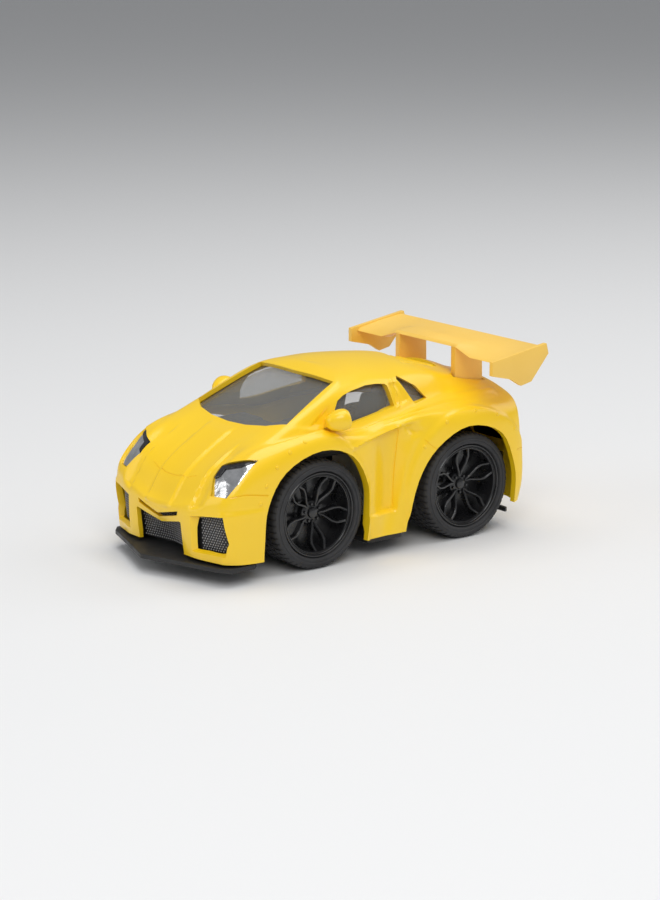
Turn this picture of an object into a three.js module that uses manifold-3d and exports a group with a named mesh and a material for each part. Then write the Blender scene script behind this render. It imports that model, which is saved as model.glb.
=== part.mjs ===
// A pull-back toy sports car: die-cast shell, plastic chassis, glazing, cabin, wing and a spring motor.
// Millimetres. +X is forward, +Y is the car's left and +Z is up. The origin is on the ground, at the
// middle of the car's length and width.
import * as THREE from "three";
import { mergeVertices } from "three/addons/utils/BufferGeometryUtils.js";
import Module from "manifold-3d";

const wasm = await Module();
wasm.setup();

// ---- Driving dimensions ----
const FRONT_AXLE_X = 15.9;
const REAR_AXLE_X = -30.1;
const TYRE_RADIUS = 13.3;
const AXLE_Z = TYRE_RADIUS;
const WHEEL_OUTER_Y = 23.6; // outer sidewall of the tyres
const TYRE_WIDTH = 10.6;
const RIM_RADIUS = 10.4;
const AXLE_RADIUS = 1.0;
const BEARING_RADIUS = 1.09; // axle holes, measured to the corners of their polygons
const WALL = 1.1; // die-cast wall
const GLAZING_GAP = 0.3;
const FLOOR_Z = 3.6; // underside of the chassis plate
const FLOOR_THICKNESS = 1.1;
const GAP = 0.3; // between pieces that touch
const NOSE_X = 51.5; // tip of the splitter, and the mirrored x of the wing's trailing edge

const COLOURS = {
  body: { color: 0xf7c716, roughness: 0.35, metalness: 0.0 },
  wing: { color: 0xf2b636, roughness: 0.5, metalness: 0.0 },
  black: { color: 0x17181a, roughness: 0.55, metalness: 0.0 },
  rim: { color: 0x1b1c1e, roughness: 0.4, metalness: 0.1 },
  tyre: { color: 0x202124, roughness: 0.8, metalness: 0.0 },
  glass: { color: 0x5a5d60, roughness: 0.1, metalness: 0.0 },
  chrome: { color: 0xd8dadc, roughness: 0.15, metalness: 1.0 },
  red: { color: 0xa01218, roughness: 0.2, metalness: 0.0 },
  steel: { color: 0xb4b7ba, roughness: 0.3, metalness: 1.0 },
  nylon: { color: 0xe9e6dc, roughness: 0.6, metalness: 0.0 },
};

const car = new THREE.Group();

function addPiece(name, solid, finish) {
  const made = solid.getMesh();
  const geometry = new THREE.BufferGeometry();
  const corners = new Float32Array(made.numVert * 3);
  for (let i = 0; i < made.numVert; i++)
    corners.set(made.vertProperties.subarray(i * made.numProp, i * made.numProp + 3), i * 3);
  geometry.setAttribute("position", new THREE.BufferAttribute(corners, 3));
  geometry.setIndex(new THREE.BufferAttribute(made.triVerts, 1));
  geometry.computeVertexNormals();
  const mesh = new THREE.Mesh(geometry, new THREE.MeshStandardMaterial(COLOURS[finish]));
  mesh.name = name;
  car.add(mesh);
}

// ---- Solids from three.js geometry ----
function solidOf(geometry) {
  const bare = new THREE.BufferGeometry();
  bare.setAttribute("position", (geometry.index ? geometry.toNonIndexed() : geometry).getAttribute("position"));
  const merged = mergeVertices(bare, 1e-4);
  const kept = [];
  const index = merged.index.array;
  for (let i = 0; i < index.length; i += 3) {
    const [a, b, c] = [index[i], index[i + 1], index[i + 2]];
    if (a !== b && b !== c && c !== a) kept.push(a, b, c);
  }
  const build = (triVerts) =>
    new wasm.Manifold(
      new wasm.Mesh({ numProp: 3, vertProperties: merged.attributes.position.array, triVerts }),
    );
  const solid = build(new Uint32Array(kept));
  if (solid.volume() > 0) return solid;
  for (let i = 0; i < kept.length; i += 3) [kept[i + 1], kept[i + 2]] = [kept[i + 2], kept[i + 1]];
  return build(new Uint32Array(kept));
}

const joined = (...solids) => solids.reduce((a, b) => a.add(b));
const mirrored = (solid) => solid.mirror([0, 1, 0]);

// A box from its lowest and highest corners.
function box([x0, y0, z0], [x1, y1, z1]) {
  const g = new THREE.BoxGeometry(x1 - x0, y1 - y0, z1 - z0);
  return solidOf(g.translate((x0 + x1) / 2, (y0 + y1) / 2, (z0 + z1) / 2));
}

// A flat outline of [x, z] points, extruded across the car from y0 to y1.
function sidePrism(points, y0, y1) {
  const shape = new THREE.Shape(points.map(([x, z]) => new THREE.Vector2(x, z)));
  const g = new THREE.ExtrudeGeometry(shape, { depth: y1 - y0, bevelEnabled: false });
  return solidOf(g.rotateX(Math.PI / 2).translate(0, y1, 0));
}

// A flat outline of [x, y] points, extruded upwards from z0 to z1.
function planPrism(points, z0, z1) {
  const shape = new THREE.Shape(points.map(([x, y]) => new THREE.Vector2(x, y)));
  const g = new THREE.ExtrudeGeometry(shape, { depth: z1 - z0, bevelEnabled: false });
  return solidOf(g.translate(0, 0, z0));
}

// An outline in space, swept both ways along a direction.
function spacePrism(points, direction, reach) {
  const way = new THREE.Vector3(...direction).normalize();
  const turn = new THREE.Quaternion().setFromUnitVectors(way, new THREE.Vector3(0, 0, 1));
  const flat = points.map((p) => new THREE.Vector3(...p).applyQuaternion(turn));
  const height = flat.reduce((sum, p) => sum + p.z, 0) / flat.length;
  const shape = new THREE.Shape(flat.map((p) => new THREE.Vector2(p.x, p.y)));
  const g = new THREE.ExtrudeGeometry(shape, { depth: 2 * reach, bevelEnabled: false });
  return solidOf(g.translate(0, 0, height - reach).applyQuaternion(turn.invert()));
}

// A cylinder whose axis runs across the car.
function crossCylinder(x, z, radius, y0, y1, sides = 24) {
  const g = new THREE.CylinderGeometry(radius, radius, y1 - y0, sides);
  return solidOf(g.translate(x, (y0 + y1) / 2, z));
}

// A cylinder or cone that stands upright.
function post(x, y, radius, z0, z1, sides = 16, topRadius = radius) {
  const g = new THREE.CylinderGeometry(topRadius, radius, z1 - z0, sides);
  return solidOf(g.rotateX(Math.PI / 2).translate(x, y, (z0 + z1) / 2));
}

// A [radius, y] profile turned about an axis that runs across the car.
function crossLathe(profile, x, z, sides) {
  const points = [...profile, profile[0]].map(([r, y]) => new THREE.Vector2(r, y));
  return solidOf(new THREE.LatheGeometry(points, sides).translate(x, 0, z));
}

function splinePoints(points, count) {
  const curve = new THREE.CatmullRomCurve3(points.map(([x, z]) => new THREE.Vector3(x, 0, z)));
  return curve.getPoints(count).map((p) => [p.x, p.z]);
}

// ---- The shell's outer skin ----
// Fourteen stations run round the left half of the car, from the middle of the nose to the middle of
// the tail. Each level is a line round the car at one height on the body, as [x, y, z] points.
const LEVELS = {
  sill: [
    [43.5, 0, 6.0], [45.6, 10.8, 5.8], [44.3, 17.5, 5.5], [41.8, 22.8, 5.4], [34, 24.2, 5.0],
    [16, 24.6, 5.0], [1.2, 24.0, 5.0], [-4, 23.6, 5.0], [-10.3, 24.0, 5.1], [-30, 24.6, 5.6],
    [-44.5, 23.8, 7.0], [-47.4, 20.5, 7.4], [-48.2, 13, 7.6], [-48.4, 0, 7.6],
  ],
  lower: [
    [44.8, 0, 10.5], [46.1, 10.8, 10.8], [44.8, 17.6, 11], [42.3, 23.2, 11], [34, 24.5, 11],
    [16, 24.9, 11], [1, 24.2, 11], [-5, 22.8, 11], [-11, 24.1, 11.5], [-30, 24.9, 12],
    [-45, 24.2, 12.4], [-48.4, 21.2, 12.5], [-49.2, 13, 12.5], [-49.4, 0, 12.5],
  ],
  lip: [
    [46.6, 0, 15.0], [46.2, 10.6, 16.8], [44.9, 17.8, 17.4], [42.4, 23.3, 18], [34.2, 24.7, 19],
    [16, 25.0, 20], [0.6, 24.0, 20], [-6, 22.6, 20.5], [-12.4, 23.9, 20.5], [-30, 25.0, 20],
    [-45.4, 24.0, 19.6], [-48.2, 21, 19.6], [-49.0, 13, 19.6], [-49.2, 0, 19.6],
  ],
  shoulder: [
    [44.8, 0, 18.0], [44.6, 9.8, 19.4], [43.4, 17.8, 21.6], [41.0, 22.6, 23.4], [33.6, 24.0, 27.2],
    [16, 24.6, 30.6], [2, 23.9, 29.4], [-5, 23.0, 30.4], [-12.5, 23.2, 31.4], [-30, 24.2, 31.0],
    [-44.2, 23.5, 30.2], [-47.4, 21.1, 31.0], [-48.1, 13, 31.8], [-48.3, 0, 32.2],
  ],
  deck: [
    [40, 0, 24.4], [39.6, 9.6, 25.6], [38.6, 15.0, 27.6], [36.0, 19.0, 29.2], [31, 21.2, 31.0],
    [16, 22.2, 33.0], [3, 21.5, 31.6], [-5, 21.2, 32.6], [-13.5, 21.0, 33.2], [-29, 20.8, 34.0],
    [-42, 19.8, 33.8], [-46.4, 17.4, 34.6], [-47.2, 10, 36.2], [-47.4, 0, 36.6],
  ],
  belt: [
    [26.6, 0, 33.0], [26.2, 9, 33.4], [24.8, 15, 34.2], [22.3, 19.2, 34.6], [16, 20.2, 34.4],
    [9, 20.4, 33.2], [2.8, 20.0, 32.8], [-5, 19.6, 33.8], [-12.5, 19.0, 34.2], [-22, 17.4, 35.2],
    [-33, 15, 36.6], [-40, 12, 37.2], [-43.0, 7, 37.4], [-43.6, 0, 37.6],
  ],
  roof: [
    [5.8, 0, 43.5], [5.8, 7.5, 43.4], [5.5, 12.5, 43.1], [5.0, 15.4, 42.8], [2.6, 16.2, 42.6],
    [-1, 16.4, 42.5], [-4.8, 16.2, 42.3], [-9, 15.6, 42.1], [-13.5, 14.6, 41.9], [-20, 12.8, 41.9],
    [-27, 11.4, 41.0], [-33, 9, 40.0], [-36, 5, 40.2], [-37, 0, 40.4],
  ],
  ridge: [
    [2, 0, 44.9], [1, 0, 45.0], [-0.3, 0, 45.2], [-1.8, 0, 45.4], [-3.8, 0, 45.6],
    [-6, 0, 45.7], [-8.5, 0, 45.7], [-11.5, 0, 45.6], [-15, 0, 45.3], [-20, 0, 44.6],
    [-25, 0, 43.5], [-28.5, 0, 42.6], [-30.5, 0, 42.1], [-32, 0, 41.7],
  ],
};
const LEVEL_ROWS = Object.values(LEVELS);
const STATIONS = LEVEL_ROWS[0].length;
const flip = ([x, y, z]) => [x, -y, z];

function catmull(a, b, c, d, t) {
  const blend = (p, q, r, s) =>
    0.5 * (2 * q + (r - p) * t + (2 * p - 5 * q + 4 * r - s) * t * t + (3 * q - p - 3 * r + s) * t * t * t);
  return b.map((_, k) => blend(a[k], b[k], c[k], d[k]));
}

// The control point at a level and station, with the mirrored half standing in past the ends.
function control(level, station) {
  if (level < 0) {
    const [low, next] = [control(0, station), control(1, station)];
    return low.map((v, k) => 2 * v - next[k]);
  }
  if (level >= LEVEL_ROWS.length) return flip(control(2 * LEVEL_ROWS.length - 2 - level, station));
  if (station < 0) return flip(control(level, -station));
  if (station >= STATIONS) return flip(control(level, 2 * STATIONS - 2 - station));
  return LEVEL_ROWS[level][station];
}

function skinPoint(level, station) {
  const [l, s] = [Math.min(Math.floor(level), LEVEL_ROWS.length - 2), Math.min(Math.floor(station), STATIONS - 2)];
  const rows = [-1, 0, 1, 2].map((k) =>
    catmull(...[-1, 0, 1, 2].map((m) => control(l + k, s + m)), station - s),
  );
  return catmull(...rows, level - l);
}

// The body as a closed solid whose skin is moved inwards by inset. drop lowers its open foot.
function bodySolid(inset, perStation = 2, perLevel = 2, drop = 0) {
  const columns = (STATIONS - 1) * perStation;
  const rows = (LEVEL_ROWS.length - 1) * perLevel;
  const at = (i, j) => {
    const half = j <= columns ? j : 2 * columns - j;
    const p = skinPoint(i / perLevel, half / perStation);
    return new THREE.Vector3(...(j <= columns ? p : flip(p)));
  };
  const around = 2 * columns;
  const grid = [];
  for (let i = 0; i <= rows; i++) for (let j = 0; j < around; j++) grid.push(at(i, j));
  const wrap = (i, j) => grid[i * around + ((j + around) % around)];
  const moved = grid.map((p, n) => {
    const [i, j] = [Math.floor(n / around), n % around];
    if (i === rows) return new THREE.Vector3(p.x, 0, p.z - inset);
    const along = wrap(i, j + 1).clone().sub(wrap(i, j - 1));
    const up = wrap(i + 1, j).clone().sub(wrap(Math.max(i - 1, 0), j));
    const normal = along.cross(up).normalize();
    const outwards = normal.dot(new THREE.Vector3(p.x, p.y, p.z - 20)) > 0 ? 1 : -1;
    const q = p.clone().addScaledVector(normal, -inset * outwards);
    if (i === 0) q.z = p.z - drop;
    if (j % columns === 0) q.y = 0;
    return q;
  });
  const corners = [];
  const quad = (a, b, c, d) => [a, b, c, a, c, d].forEach((n) => corners.push(...moved[n].toArray()));
  for (let i = 0; i < rows; i++)
    for (let j = 0; j < around; j++) {
      const k = (j + 1) % around;
      quad(i * around + j, i * around + k, (i + 1) * around + k, (i + 1) * around + j);
    }
  for (let j = 0; j < columns; j++) quad(j, (around - j) % around, around - j - 1, j + 1);
  const g = new THREE.BufferGeometry();
  g.setAttribute("position", new THREE.Float32BufferAttribute(corners, 3));
  return solidOf(g);
}

// ---- Openings in the shell, as outlines ----
const FRONT_ARCH = splinePoints(
  [[33.0, 0], [32.9, 9.7], [31.9, 18.1], [26.8, 25.5], [16.5, 29.4], [7.0, 26.6], [2.0, 18.7], [1.8, 11], [3.0, 0]],
  26,
);
const REAR_ARCH = splinePoints(
  [[-9.6, 0], [-10.3, 6.5], [-13.4, 17.2], [-19.3, 24.8], [-29, 29.0], [-39.6, 25.9], [-44.2, 17], [-44.8, 9], [-44.8, 0]],
  26,
);
const WINDSCREEN = [
  [21.4, 18.3, 34.9], [24.3, 13.5, 34.2], [25.6, 7, 33.7], [25.9, 0, 33.5], [25.6, -7, 33.7],
  [24.3, -13.5, 34.2], [21.4, -18.3, 34.9], [5.6, -14.9, 42.9], [6.2, 0, 43.6], [5.6, 14.9, 42.9],
];
const SIDE_WINDOW = [[7.2, 39.2], [9.0, 36.2], [8.6, 33.2], [2.8, 33.4], [-10.4, 35.5], [-9.2, 40.7], [-2.7, 41.4], [2.5, 40.7]];
const QUARTER_WINDOW = [[-14.3, 41.7], [-13.5, 40.9], [-17.9, 34.9], [-22.0, 35.6], [-19.3, 38.8]];
const REAR_WINDOW = [
  [-21, 8.6, 43.4], [-34, 6.4, 40.6], [-34, -6.4, 40.6], [-21, -8.6, 43.4],
];
const HEADLIGHT = [[34.3, 23.0, 29.6], [38.6, 15.6, 28.0], [41.6, 15.8, 25.0], [43.9, 17.8, 21.4], [42.2, 22.4, 21.4]];
const SIDE_INTAKE = [[14.2, 15.4], [21.6, 16.4], [23.0, 10.8], [21.6, 8.2], [15.4, 8.4], [13.6, 12]];
const CENTRE_INTAKE = [[0, 12.0], [3.0, 12.2], [8.2, 13.6], [9.4, 3], [-9.4, 3], [-8.2, 13.6], [-3.0, 12.2]];
const TAIL_LIGHT = [[8.5, 25.4], [20.2, 26.6], [20.4, 22.6], [9.5, 22.6]];
const REAR_OUTLET = [[-14, 9.5], [-15.5, 17.5], [15.5, 17.5], [14, 9.5]];

// A [y, z] outline pushed along X from x0 to x1.
function facePrism(points, x0, x1) {
  return spacePrism(
    points.map(([y, z]) => [(x0 + x1) / 2, y, z]),
    [1, 0, 0],
    (x1 - x0) / 2,
  );
}

// A flat outline drawn in from its middle, for a piece that fits in an opening.
function shrunk(points, gap) {
  const middle = points[0].map((_, k) => points.reduce((sum, p) => sum + p[k], 0) / points.length);
  return points.map((p) => {
    const reach = Math.hypot(...p.map((v, k) => v - middle[k]));
    return p.map((v, k) => middle[k] + ((v - middle[k]) * (reach - gap)) / reach);
  });
}

const HEADLIGHT_WAY = [0.78, 0.36, 0.52];
const headlightCut = spacePrism(HEADLIGHT, HEADLIGHT_WAY, 6);
const sideWindowCut = sidePrism(SIDE_WINDOW, 10, 26);
const quarterCut = sidePrism(QUARTER_WINDOW, 10, 26);
const sideIntakeCut = facePrism(SIDE_INTAKE, 38, 50);
const tailCut = facePrism(TAIL_LIGHT, -52, -44);

// ---- Die-cast body shell ----
const PILLAR_Y = 11.0; // middle of each wing pillar
const PILLAR_HALF = 0.8;
const POSTS = [[29.5, 0], [-43.4, 0]]; // screw posts, [x, y]
const POST_RADIUS = 2.3;
const POST_FOOT = 5.0;
const SCREW_HOLE = 1.0;

const outerSkin = bodySolid(0);
const innerSkin = bodySolid(WALL, 2, 1, 6);

const mirrorPod = solidOf(
  new THREE.SphereGeometry(1, 14, 9).scale(3.1, 3.0, 2.7).rotateZ(-0.35).translate(10.6, 23.7, 35.6),
);
const mirrorStalk = spacePrism(
  [[12.4, 19.0, 33.2], [8.6, 19.0, 33.0], [9.2, 19.4, 35.0], [11.6, 19.2, 35.2]],
  [0, 1, 0.25],
  4.2,
);
const mirrors = joined(mirrorPod, mirrorStalk).subtract(innerSkin);

const pillarSlot = (side) =>
  box([-45.2, side * PILLAR_Y - PILLAR_HALF - GAP, 33], [-34.6, side * PILLAR_Y + PILLAR_HALF + GAP, 47]);

const openings = joined(
  sidePrism(FRONT_ARCH, -30, 30),
  sidePrism(REAR_ARCH, -30, 30),
  spacePrism(WINDSCREEN, [0.48, 0, 0.88], 7),
  spacePrism(REAR_WINDOW, [-0.2, 0, 0.98], 4),
  facePrism(CENTRE_INTAKE, 38, 52),
  facePrism(REAR_OUTLET, -52, -44),
  ...[sideWindowCut, quarterCut, headlightCut, sideIntakeCut, tailCut].flatMap((s) => [s, mirrored(s)]),
);

let shell = outerSkin.subtract(innerSkin).subtract(openings);
shell = joined(shell, mirrors, mirrored(mirrors));
for (const [x, y] of POSTS) {
  const column = post(x, y, POST_RADIUS, POST_FOOT, 44, 12);
  shell = shell.add(column.intersect(outerSkin)).subtract(post(x, y, SCREW_HOLE, 0, 16, 12));
}
shell = shell.subtract(pillarSlot(1)).subtract(pillarSlot(-1));
const bodyParts = shell.decompose().sort((a, b) => b.volume() - a.volume());
addPiece("body_shell", bodyParts[0], "body");

// ---- Glazing: one clear moulding under the roof ----
const glazingOuter = bodySolid(WALL + GLAZING_GAP, 2, 1, 6);
const glazingInner = bodySolid(WALL + GLAZING_GAP + 0.9, 2, 1, 6);
const glazingBlock = planPrism(
  [[27, 17], [20, 18.6], [-16, 18.6], [-34, 9.4], [-34, -9.4], [-16, -18.6], [20, -18.6], [27, -17]],
  30.5,
  50,
);
const glazing = glazingOuter.subtract(glazingInner).intersect(glazingBlock);
addPiece("window_glazing", glazing.decompose().sort((a, b) => b.volume() - a.volume())[0], "glass");

// ---- Lamps and grilles ----
const lampOuter = bodySolid(0.35);
const lampInner = bodySolid(WALL + 0.9, 2, 1, 6);
const lamp = spacePrism(shrunk(HEADLIGHT, GAP), HEADLIGHT_WAY, 6).intersect(lampOuter).subtract(lampInner);
addPiece("headlight_left", lamp, "chrome");
addPiece("headlight_right", mirrored(lamp), "chrome");

const tailLamp = facePrism(shrunk(TAIL_LIGHT, GAP), -52, -44).intersect(lampOuter).subtract(lampInner);
addPiece("tail_light_left", tailLamp, "red");
addPiece("tail_light_right", mirrored(tailLamp), "red");

const grilleOuter = bodySolid(WALL + GAP, 2, 1, 6);
const grilleInner = bodySolid(WALL + GAP + 1.0, 2, 1, 6);
const noseBlock = box([38.5, -23, 6.2], [50, 23, 18.4]);
addPiece("front_grille", grilleOuter.subtract(grilleInner).intersect(noseBlock), "black");
const tailBlock = box([-51, -17, 8.6], [-44, 17, 18.4]);
addPiece("rear_grille", grilleOuter.subtract(grilleInner).intersect(tailBlock), "black");

// ---- Rear wing: one plastic moulding on two pillars ----
const WING_LEAD = [-35.2, 45.9];
function wingSection(lift) {
  const [x, z] = WING_LEAD;
  return [
    [x, z + lift], [x - 0.9, z + lift + 0.7], [x - 7, z + 0.45 * lift + 0.9], [-49.8, z + 1.1],
    [-49.8, z + 0.3], [x - 7, z + 0.45 * lift - 0.2], [x - 2, z + lift - 0.5],
  ];
}
const OUTER_DROP = -1.8;
const wingRamp = (y0, y1) => {
  const ends = [wingSection(0), wingSection(OUTER_DROP)];
  const corners = [];
  const at = (end, k) => [ends[end][k][0], end ? y1 : y0, ends[end][k][1]];
  const count = ends[0].length;
  for (let k = 0; k < count; k++) {
    const n = (k + 1) % count;
    corners.push(...at(0, k), ...at(0, n), ...at(1, n), ...at(0, k), ...at(1, n), ...at(1, k));
  }
  const faces = THREE.ShapeUtils.triangulateShape(ends[0].map(([x, z]) => new THREE.Vector2(x, z)), []);
  for (const [a, b, c] of faces)
    corners.push(...at(0, a), ...at(0, c), ...at(0, b), ...at(1, a), ...at(1, b), ...at(1, c));
  const g = new THREE.BufferGeometry();
  g.setAttribute("position", new THREE.Float32BufferAttribute(corners, 3));
  return solidOf(g);
};
const END_PLATE = [[-33.2, 44.9], [-33.2, 41.4], [-39.4, 39.9], [-42.6, 37.9], [-46, 38.6], [-NOSE_X, 45.0], [-50.8, 47.6]];
const WING_PILLAR = [[-35.4, 46.2], [-35.4, 38.6], [-36.4, 34.4], [-43.2, 34.4], [-44.4, 37.0], [-44.2, 46.2]];
const wingHalf = joined(
  wingRamp(12.0, 17.5),
  sidePrism(wingSection(OUTER_DROP), 17.4, 28.2),
  sidePrism(END_PLATE, 27.4, 28.6),
  sidePrism(WING_PILLAR, PILLAR_Y - PILLAR_HALF, PILLAR_Y + PILLAR_HALF),
);
addPiece("rear_wing", joined(sidePrism(wingSection(0), -12.1, 12.1), wingHalf, mirrored(wingHalf)), "wing");

// ---- Cabin moulding: dashboard, tunnel and two seats ----
const seat = joined(
  box([-9, 3.2, 24.6], [1.0, 13.2, 28.4]),
  sidePrism([[-8.4, 28], [-12.6, 37.5], [-15.0, 37.5], [-12.4, 28]], 3.6, 12.8),
);
const DASH = [[23.5, 24.6], [23.5, 29.6], [18.5, 31.8], [12.0, 31.6], [10.2, 28.6], [11.4, 24.6]];
const cabin = joined(
  box([-9, -15, 23.4], [23.5, 15, 25.0]),
  box([-16, -15, 28.5], [-9.5, 15, 30.0]),
  sidePrism(DASH, -15, 15),
  box([-12, -2.2, 24.6], [12, 2.2, 28.0]),
  seat,
  mirrored(seat),
);
const cabinRoom = bodySolid(WALL + GLAZING_GAP + 0.9 + GAP, 2, 1, 6);
const wheelRoom = crossCylinder(FRONT_AXLE_X, AXLE_Z, TYRE_RADIUS + 1.2, 12.2, 30);
addPiece("cabin_interior", cabin.intersect(cabinRoom).subtract(wheelRoom).subtract(mirrored(wheelRoom)), "black");

// ---- Chassis plate with splitter, axle saddles and screw bosses ----
const FLOOR_TOP = FLOOR_Z + FLOOR_THICKNESS;
const floorHalf = [
  [NOSE_X, 0], [47.6, 11.6], [44.4, 21.8], [42.4, 24.2], [35.6, 24.2], [33.8, 22.4], [33.6, 11.9],
  [0.8, 11.9], [0.8, 22.6], [-9.6, 22.6], [-14.8, 11.9], [-45.2, 11.9], [-45.2, 20.5], [-46.2, 20.0], [-47.2, 0],
];
const floorOutline = [...floorHalf, ...floorHalf.slice(1, -1).reverse().map(([x, y]) => [x, -y])];
const SADDLE_Y = 9.2;
const saddle = sidePrism(
  [[11.4, FLOOR_TOP - 0.5], [12.6, AXLE_Z + 2.6], [FRONT_AXLE_X + 2.6, AXLE_Z + 2.6], [20.4, FLOOR_TOP - 0.5]],
  SADDLE_Y - 1.1,
  SADDLE_Y + 1.1,
);
const bearing = crossCylinder(FRONT_AXLE_X, AXLE_Z, BEARING_RADIUS, -14, 14);
const rail = box([-9.0, 20.4, FLOOR_TOP - 0.5], [0.6, 21.6, 8.5]);
let chassis = joined(planPrism(floorOutline, FLOOR_Z, FLOOR_TOP), saddle, mirrored(saddle), rail, mirrored(rail));
chassis = chassis.subtract(bearing);
// Upright walls close the wheel wells on the inside, each with a hole for its axle.
const FRONT_WELL = [[1.0, 4.2], [1.0, 17], [6.5, 22.8], [26, 22.8], [32.8, 17], [33.4, 4.2]];
const REAR_WELL = [[-45.0, 4.2], [-45.0, 18], [-40, 26], [-20, 26], [-12.6, 18], [-11.0, 4.2]];
for (const [outline, axleX] of [[FRONT_WELL, FRONT_AXLE_X], [REAR_WELL, REAR_AXLE_X]]) {
  const wall = sidePrism(outline, 10.9, 11.7).subtract(crossCylinder(axleX, AXLE_Z, 1.7, 8, 13, 16));
  chassis = joined(chassis, wall, mirrored(wall));
}
for (const [x, y] of POSTS) {
  chassis = chassis.subtract(post(x, y, SCREW_HOLE + 0.3, 0, 8, 12)).subtract(post(x, y, 2.2, 0, FLOOR_Z + 0.55, 12));
}

// ---- Pull-back motor ----
const GEAR_MODULE = 0.5;
const PINION_TEETH = 10;
const CLUTCH_TEETH = 24;
const DRUM_TEETH = 30;
const PIN_RADIUS = 0.75;
const ARBOR_RADIUS = 1.0;
const CLUTCH_TRAVEL = 1.9;
const [CLUTCH_ANGLE, DRUM_ANGLE] = [75, -45].map(THREE.MathUtils.degToRad);
const centreDistance = (a, b) => (GEAR_MODULE * (a + b)) / 2;
const AXLE_AT = [REAR_AXLE_X, AXLE_Z];
const stepTo = ([x, z], angle, reach) => [x + reach * Math.cos(angle), z + reach * Math.sin(angle)];
const CLUTCH_AT = stepTo(AXLE_AT, CLUTCH_ANGLE, centreDistance(PINION_TEETH, CLUTCH_TEETH));
const DRUM_AT = stepTo(CLUTCH_AT, DRUM_ANGLE, centreDistance(PINION_TEETH, DRUM_TEETH));
const CLUTCH_WAY = [-0.2588, 0.9659]; // the slot's direction in x and z, away from both of its mates

// A spur gear between y0 and y1. toothAt is the angle of one tooth's middle, from +X towards +Z.
function gear([x, z], teeth, toothAt, y0, y1) {
  const pitch = (GEAR_MODULE * teeth) / 2;
  const halfTooth = Math.PI / (2 * teeth) - BACKLASH / pitch;
  const outline = [];
  for (let k = 0; k < teeth; k++) {
    const middle = toothAt + (2 * Math.PI * k) / teeth;
    for (const [radius, half] of [
      [pitch - 1.2 * GEAR_MODULE, halfTooth * ROOT_SPREAD],
      [pitch, halfTooth],
      [pitch + ADDENDUM * GEAR_MODULE, halfTooth * TIP_SPREAD],
    ])
      outline.push([middle - half, radius]);
    for (const [radius, half] of [
      [pitch + ADDENDUM * GEAR_MODULE, halfTooth * TIP_SPREAD],
      [pitch, halfTooth],
      [pitch - 1.2 * GEAR_MODULE, halfTooth * ROOT_SPREAD],
    ])
      outline.push([middle + half, radius]);
  }
  return sidePrism(
    outline.map(([angle, radius]) => [x + radius * Math.cos(angle), z + radius * Math.sin(angle)]),
    y0,
    y1,
  );
}
const BACKLASH = 0.1;
const ADDENDUM = 0.75;
const ROOT_SPREAD = 1.25;
const TIP_SPREAD = 0.5;
const halfPitch = (teeth) => Math.PI / teeth;

const PINION_LAYER = [-3.4, -0.9];
const CLUTCH_LAYER = [-3.0, -1.2];
const DRUM_LAYER = [1.2, 3.0];
const BARREL_LAYER = [3.3, 6.2];
const axlePinion = gear(AXLE_AT, PINION_TEETH, CLUTCH_ANGLE, ...PINION_LAYER);

const clutchGear = joined(
  gear(CLUTCH_AT, CLUTCH_TEETH, CLUTCH_ANGLE + Math.PI + halfPitch(CLUTCH_TEETH), ...CLUTCH_LAYER),
  gear(CLUTCH_AT, PINION_TEETH, DRUM_ANGLE, -1.3, 3.4),
).subtract(crossCylinder(...CLUTCH_AT, PIN_RADIUS + 0.08, -9, 9, 16));
const clutchPin = crossCylinder(...CLUTCH_AT, PIN_RADIUS, -6.9, 6.9, 12);

const BARREL_RADIUS = 6.7;
const springDrum = joined(
  gear(DRUM_AT, DRUM_TEETH, DRUM_ANGLE + Math.PI + halfPitch(DRUM_TEETH), ...DRUM_LAYER),
  crossCylinder(...DRUM_AT, ARBOR_RADIUS, -6.9, 6.9, 16),
);
const springBarrel = crossCylinder(...DRUM_AT, BARREL_RADIUS, ...BARREL_LAYER, 32)
  .subtract(crossCylinder(...DRUM_AT, BARREL_RADIUS - 0.7, BARREL_LAYER[0] + 0.4, 9, 32))
  .subtract(crossCylinder(...DRUM_AT, ARBOR_RADIUS + 0.09, 0, 9));

// The mainspring is a flat strip wound in a spiral from the arbor to the barrel's wall.
const SPRING_TURNS = 5;
const SPRING_STEPS = 16; // points a turn
const SPRING_THICKNESS = 0.22;
function mainspring() {
  const [inner, outer] = [ARBOR_RADIUS + 0.4, BARREL_RADIUS - 0.95];
  const steps = SPRING_TURNS * SPRING_STEPS;
  const edge = (side) =>
    Array.from({ length: steps + 1 }, (_, k) => {
      const angle = (2 * Math.PI * k) / SPRING_STEPS;
      const radius = inner + ((outer - inner) * k) / steps + (side * SPRING_THICKNESS) / 2;
      return [DRUM_AT[0] + radius * Math.cos(angle), DRUM_AT[1] + radius * Math.sin(angle)];
    });
  return sidePrism([...edge(1), ...edge(-1).reverse()], BARREL_LAYER[0] + 0.6, BARREL_LAYER[1] - 0.1);
}

const CASE_OUTLINE = [[-36.6, 5.0], [-36.6, 25.7], [-33, 31.6], [-24.2, 31.6], [-11.5, 19.4], [-11.5, 5.0]];
const CASE_ROOM = [[-35.8, 5.9], [-35.8, 25.5], [-32.5, 30.8], [-24.5, 30.8], [-12.3, 19.0], [-12.3, 5.9]];
const CASE_HALF = 7.4;
const clutchSlot = [-0.06, CLUTCH_TRAVEL + 0.06].map((reach) =>
  crossCylinder(
    CLUTCH_AT[0] + CLUTCH_WAY[0] * reach,
    CLUTCH_AT[1] + CLUTCH_WAY[1] * reach,
    PIN_RADIUS + 0.1,
    -9,
    9,
    12,
  ),
);
const slotCut = wasm.Manifold.hull(clutchSlot);
const shaftHoles = joined(
  crossCylinder(...AXLE_AT, BEARING_RADIUS, -9, 9),
  crossCylinder(...DRUM_AT, ARBOR_RADIUS + 0.09, -9, 9),
  slotCut,
);
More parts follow.
